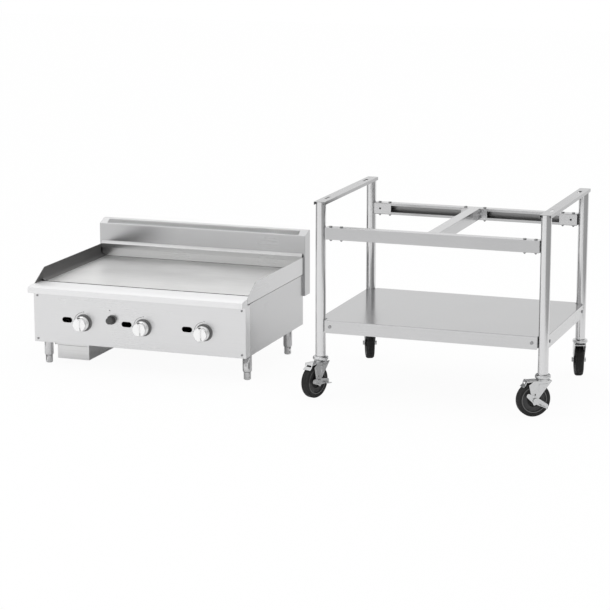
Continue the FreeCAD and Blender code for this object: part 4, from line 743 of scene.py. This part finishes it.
# Grey cards that shape the steel: place, target, width, height, tone
CARDS = {
    "card_left": ((-2.9, 0.6, 1.1), (0.0, 0.6, 0.9), 4.0, 2.2, 0.42),
    "card_right": ((2.1, -0.9, 1.1), (0.0, -0.6, 0.9), 4.6, 2.2, 0.40),
    "card_front": ((-2.0, -6.0, 2.2), (0.0, 0.0, 1.0), 7.0, 2.2, 0.65),
    "soft_light_card": ((-1.9, 2.2, 2.4), (-0.5, 0.0, 0.3), 3.6, 1.1, 1.35),
}
# Soft lamps: place, target, size, power
LAMPS = {
    "key": ((-2.6, -3.2, 3.6), (-0.3, 0.0, 0.3), 2.4, 26.0),
    "top": ((0.0, 0.2, 3.4), (0.0, 0.0, 0.0), 3.0, 5.0),
}
PICTURE_WIDTH = 610.0
FOCAL_PIXELS = 2200.0
SENSOR_WIDTH = 36.0
FARTHEST = 60.0
CAMERA_PLACE = STAND + Vector((2.226, -7.840, 2.076))
CAMERA_DOWN = 12.21
CAMERA_TURN = 19.79


def shares(tree, ray, amount):
    part = tree.nodes.new("ShaderNodeMath")
    part.operation = "MULTIPLY"
    part.inputs[1].default_value = amount
    tree.links.new(ray, part.inputs[0])
    return part.outputs[0]


def larger(tree, first, second):
    pick = tree.nodes.new("ShaderNodeMath")
    pick.operation = "MAXIMUM"
    tree.links.new(first, pick.inputs[0])
    tree.links.new(second, pick.inputs[1])
    return pick.outputs[0]


def seen_directly(tree, plain=1.0, mirrored=1.0):
    """How much of the backdrop shows to the camera, and to metal and glass."""
    rays = tree.nodes.new("ShaderNodeLightPath")
    mirror = larger(tree, rays.outputs["Is Glossy Ray"], rays.outputs["Is Transmission Ray"])
    return larger(tree, shares(tree, rays.outputs["Is Camera Ray"], plain),
                  shares(tree, mirror, mirrored))


def mixed(tree, amount, first, second, output):
    """Shows the second shader by an amount, and the first for the rest."""
    mix = tree.nodes.new("ShaderNodeMixShader")
    tree.links.new(amount, mix.inputs["Fac"])
    tree.links.new(first.outputs[0], mix.inputs[1])
    tree.links.new(second.outputs[0], mix.inputs[2])
    tree.links.new(mix.outputs[0], tree.nodes[output].inputs["Surface"])


def flat_card(name, width, height):
    mesh = bpy.data.meshes.new(name)
    bm = bmesh.new()
    bmesh.ops.create_grid(bm, x_segments=1, y_segments=1, size=0.5)
    bmesh.ops.scale(bm, vec=(width, height, 1.0), verts=bm.verts)
    bm.to_mesh(mesh)
    bm.free()
    obj = bpy.data.objects.new(name, mesh)
    bpy.context.scene.collection.objects.link(obj)
    return obj


def aim(obj, place, target):
    obj.location = place
    obj.rotation_euler = (Vector(target) - Vector(place)).to_track_quat("-Z", "Y").to_euler()


def surroundings():
    """White all round: light for the pieces, and a backdrop for camera and mirrors."""
    world = bpy.data.worlds.new("studio_world")
    bpy.context.scene.world = world
    world.use_nodes = True
    tree = world.node_tree
    light = tree.nodes["Background"]
    light.inputs["Color"].default_value = WHITE
    light.inputs["Strength"].default_value = 1.0
    backdrop = tree.nodes.new("ShaderNodeBackground")
    backdrop.inputs["Color"].default_value = WHITE
    mixed(tree, seen_directly(tree), light, backdrop, "World Output")


def pale_floor():
    """A near-white floor that keeps the shadows."""
    floor = flat_card("floor", FLOOR_SIZE, FLOOR_SIZE)
    floor.location.z = -FLOOR_DROP
    mat = bpy.data.materials.new("pale_floor")
    mat.use_nodes = True
    tree = mat.node_tree
    shader = tree.nodes["Principled BSDF"]
    shader.inputs["Base Color"].default_value = FLOOR_TONE
    shader.inputs["Roughness"].default_value = 0.9
    glow = tree.nodes.new("ShaderNodeEmission")
    glow.inputs["Color"].default_value = WHITE
    mixed(tree, seen_directly(tree, FLOOR_SEEN, FLOOR_MIRRORED), shader, glow,
          "Material Output")
    floor.data.materials.append(mat)


def grey_card(name, place, target, width, height, tone):
    """A card outside the view, for the steel to reflect."""
    card = flat_card(name, width, height)
    aim(card, place, target)
    card.visible_camera = False
    card.visible_diffuse = False
    card.visible_shadow = False
    mat = bpy.data.materials.new(name + "_paper")
    mat.use_nodes = True
    tree = mat.node_tree
    tree.nodes.remove(tree.nodes["Principled BSDF"])
    paper = tree.nodes.new("ShaderNodeEmission")
    paper.inputs["Color"].default_value = (tone, tone, tone, 1.0)
    tree.links.new(paper.outputs[0], tree.nodes["Material Output"].inputs["Surface"])
    card.data.materials.append(mat)


def lamp(name, place, target, size, power):
    light = bpy.data.lights.new(name, "AREA")
    light.shape = "SQUARE"
    light.size = size
    light.energy = power
    obj = bpy.data.objects.new(name, light)
    bpy.context.scene.collection.objects.link(obj)
    aim(obj, place, target)


def camera():
    cam = bpy.data.cameras.new("camera")
    cam.lens = FOCAL_PIXELS / PICTURE_WIDTH * SENSOR_WIDTH
    cam.sensor_width = SENSOR_WIDTH
    cam.clip_end = FARTHEST
    obj = bpy.data.objects.new("camera", cam)
    bpy.context.scene.collection.objects.link(obj)
    obj.location = CAMERA_PLACE
    obj.rotation_euler = (math.radians(90.0 - CAMERA_DOWN), 0.0, math.radians(CAMERA_TURN))
    bpy.context.scene.camera = obj


surroundings()
pale_floor()
for name, card in CARDS.items():
    grey_card(name, *card)
for name, light in LAMPS.items():
    lamp(name, *light)
camera()
bpy.context.scene.view_settings.view_transform = "Standard"
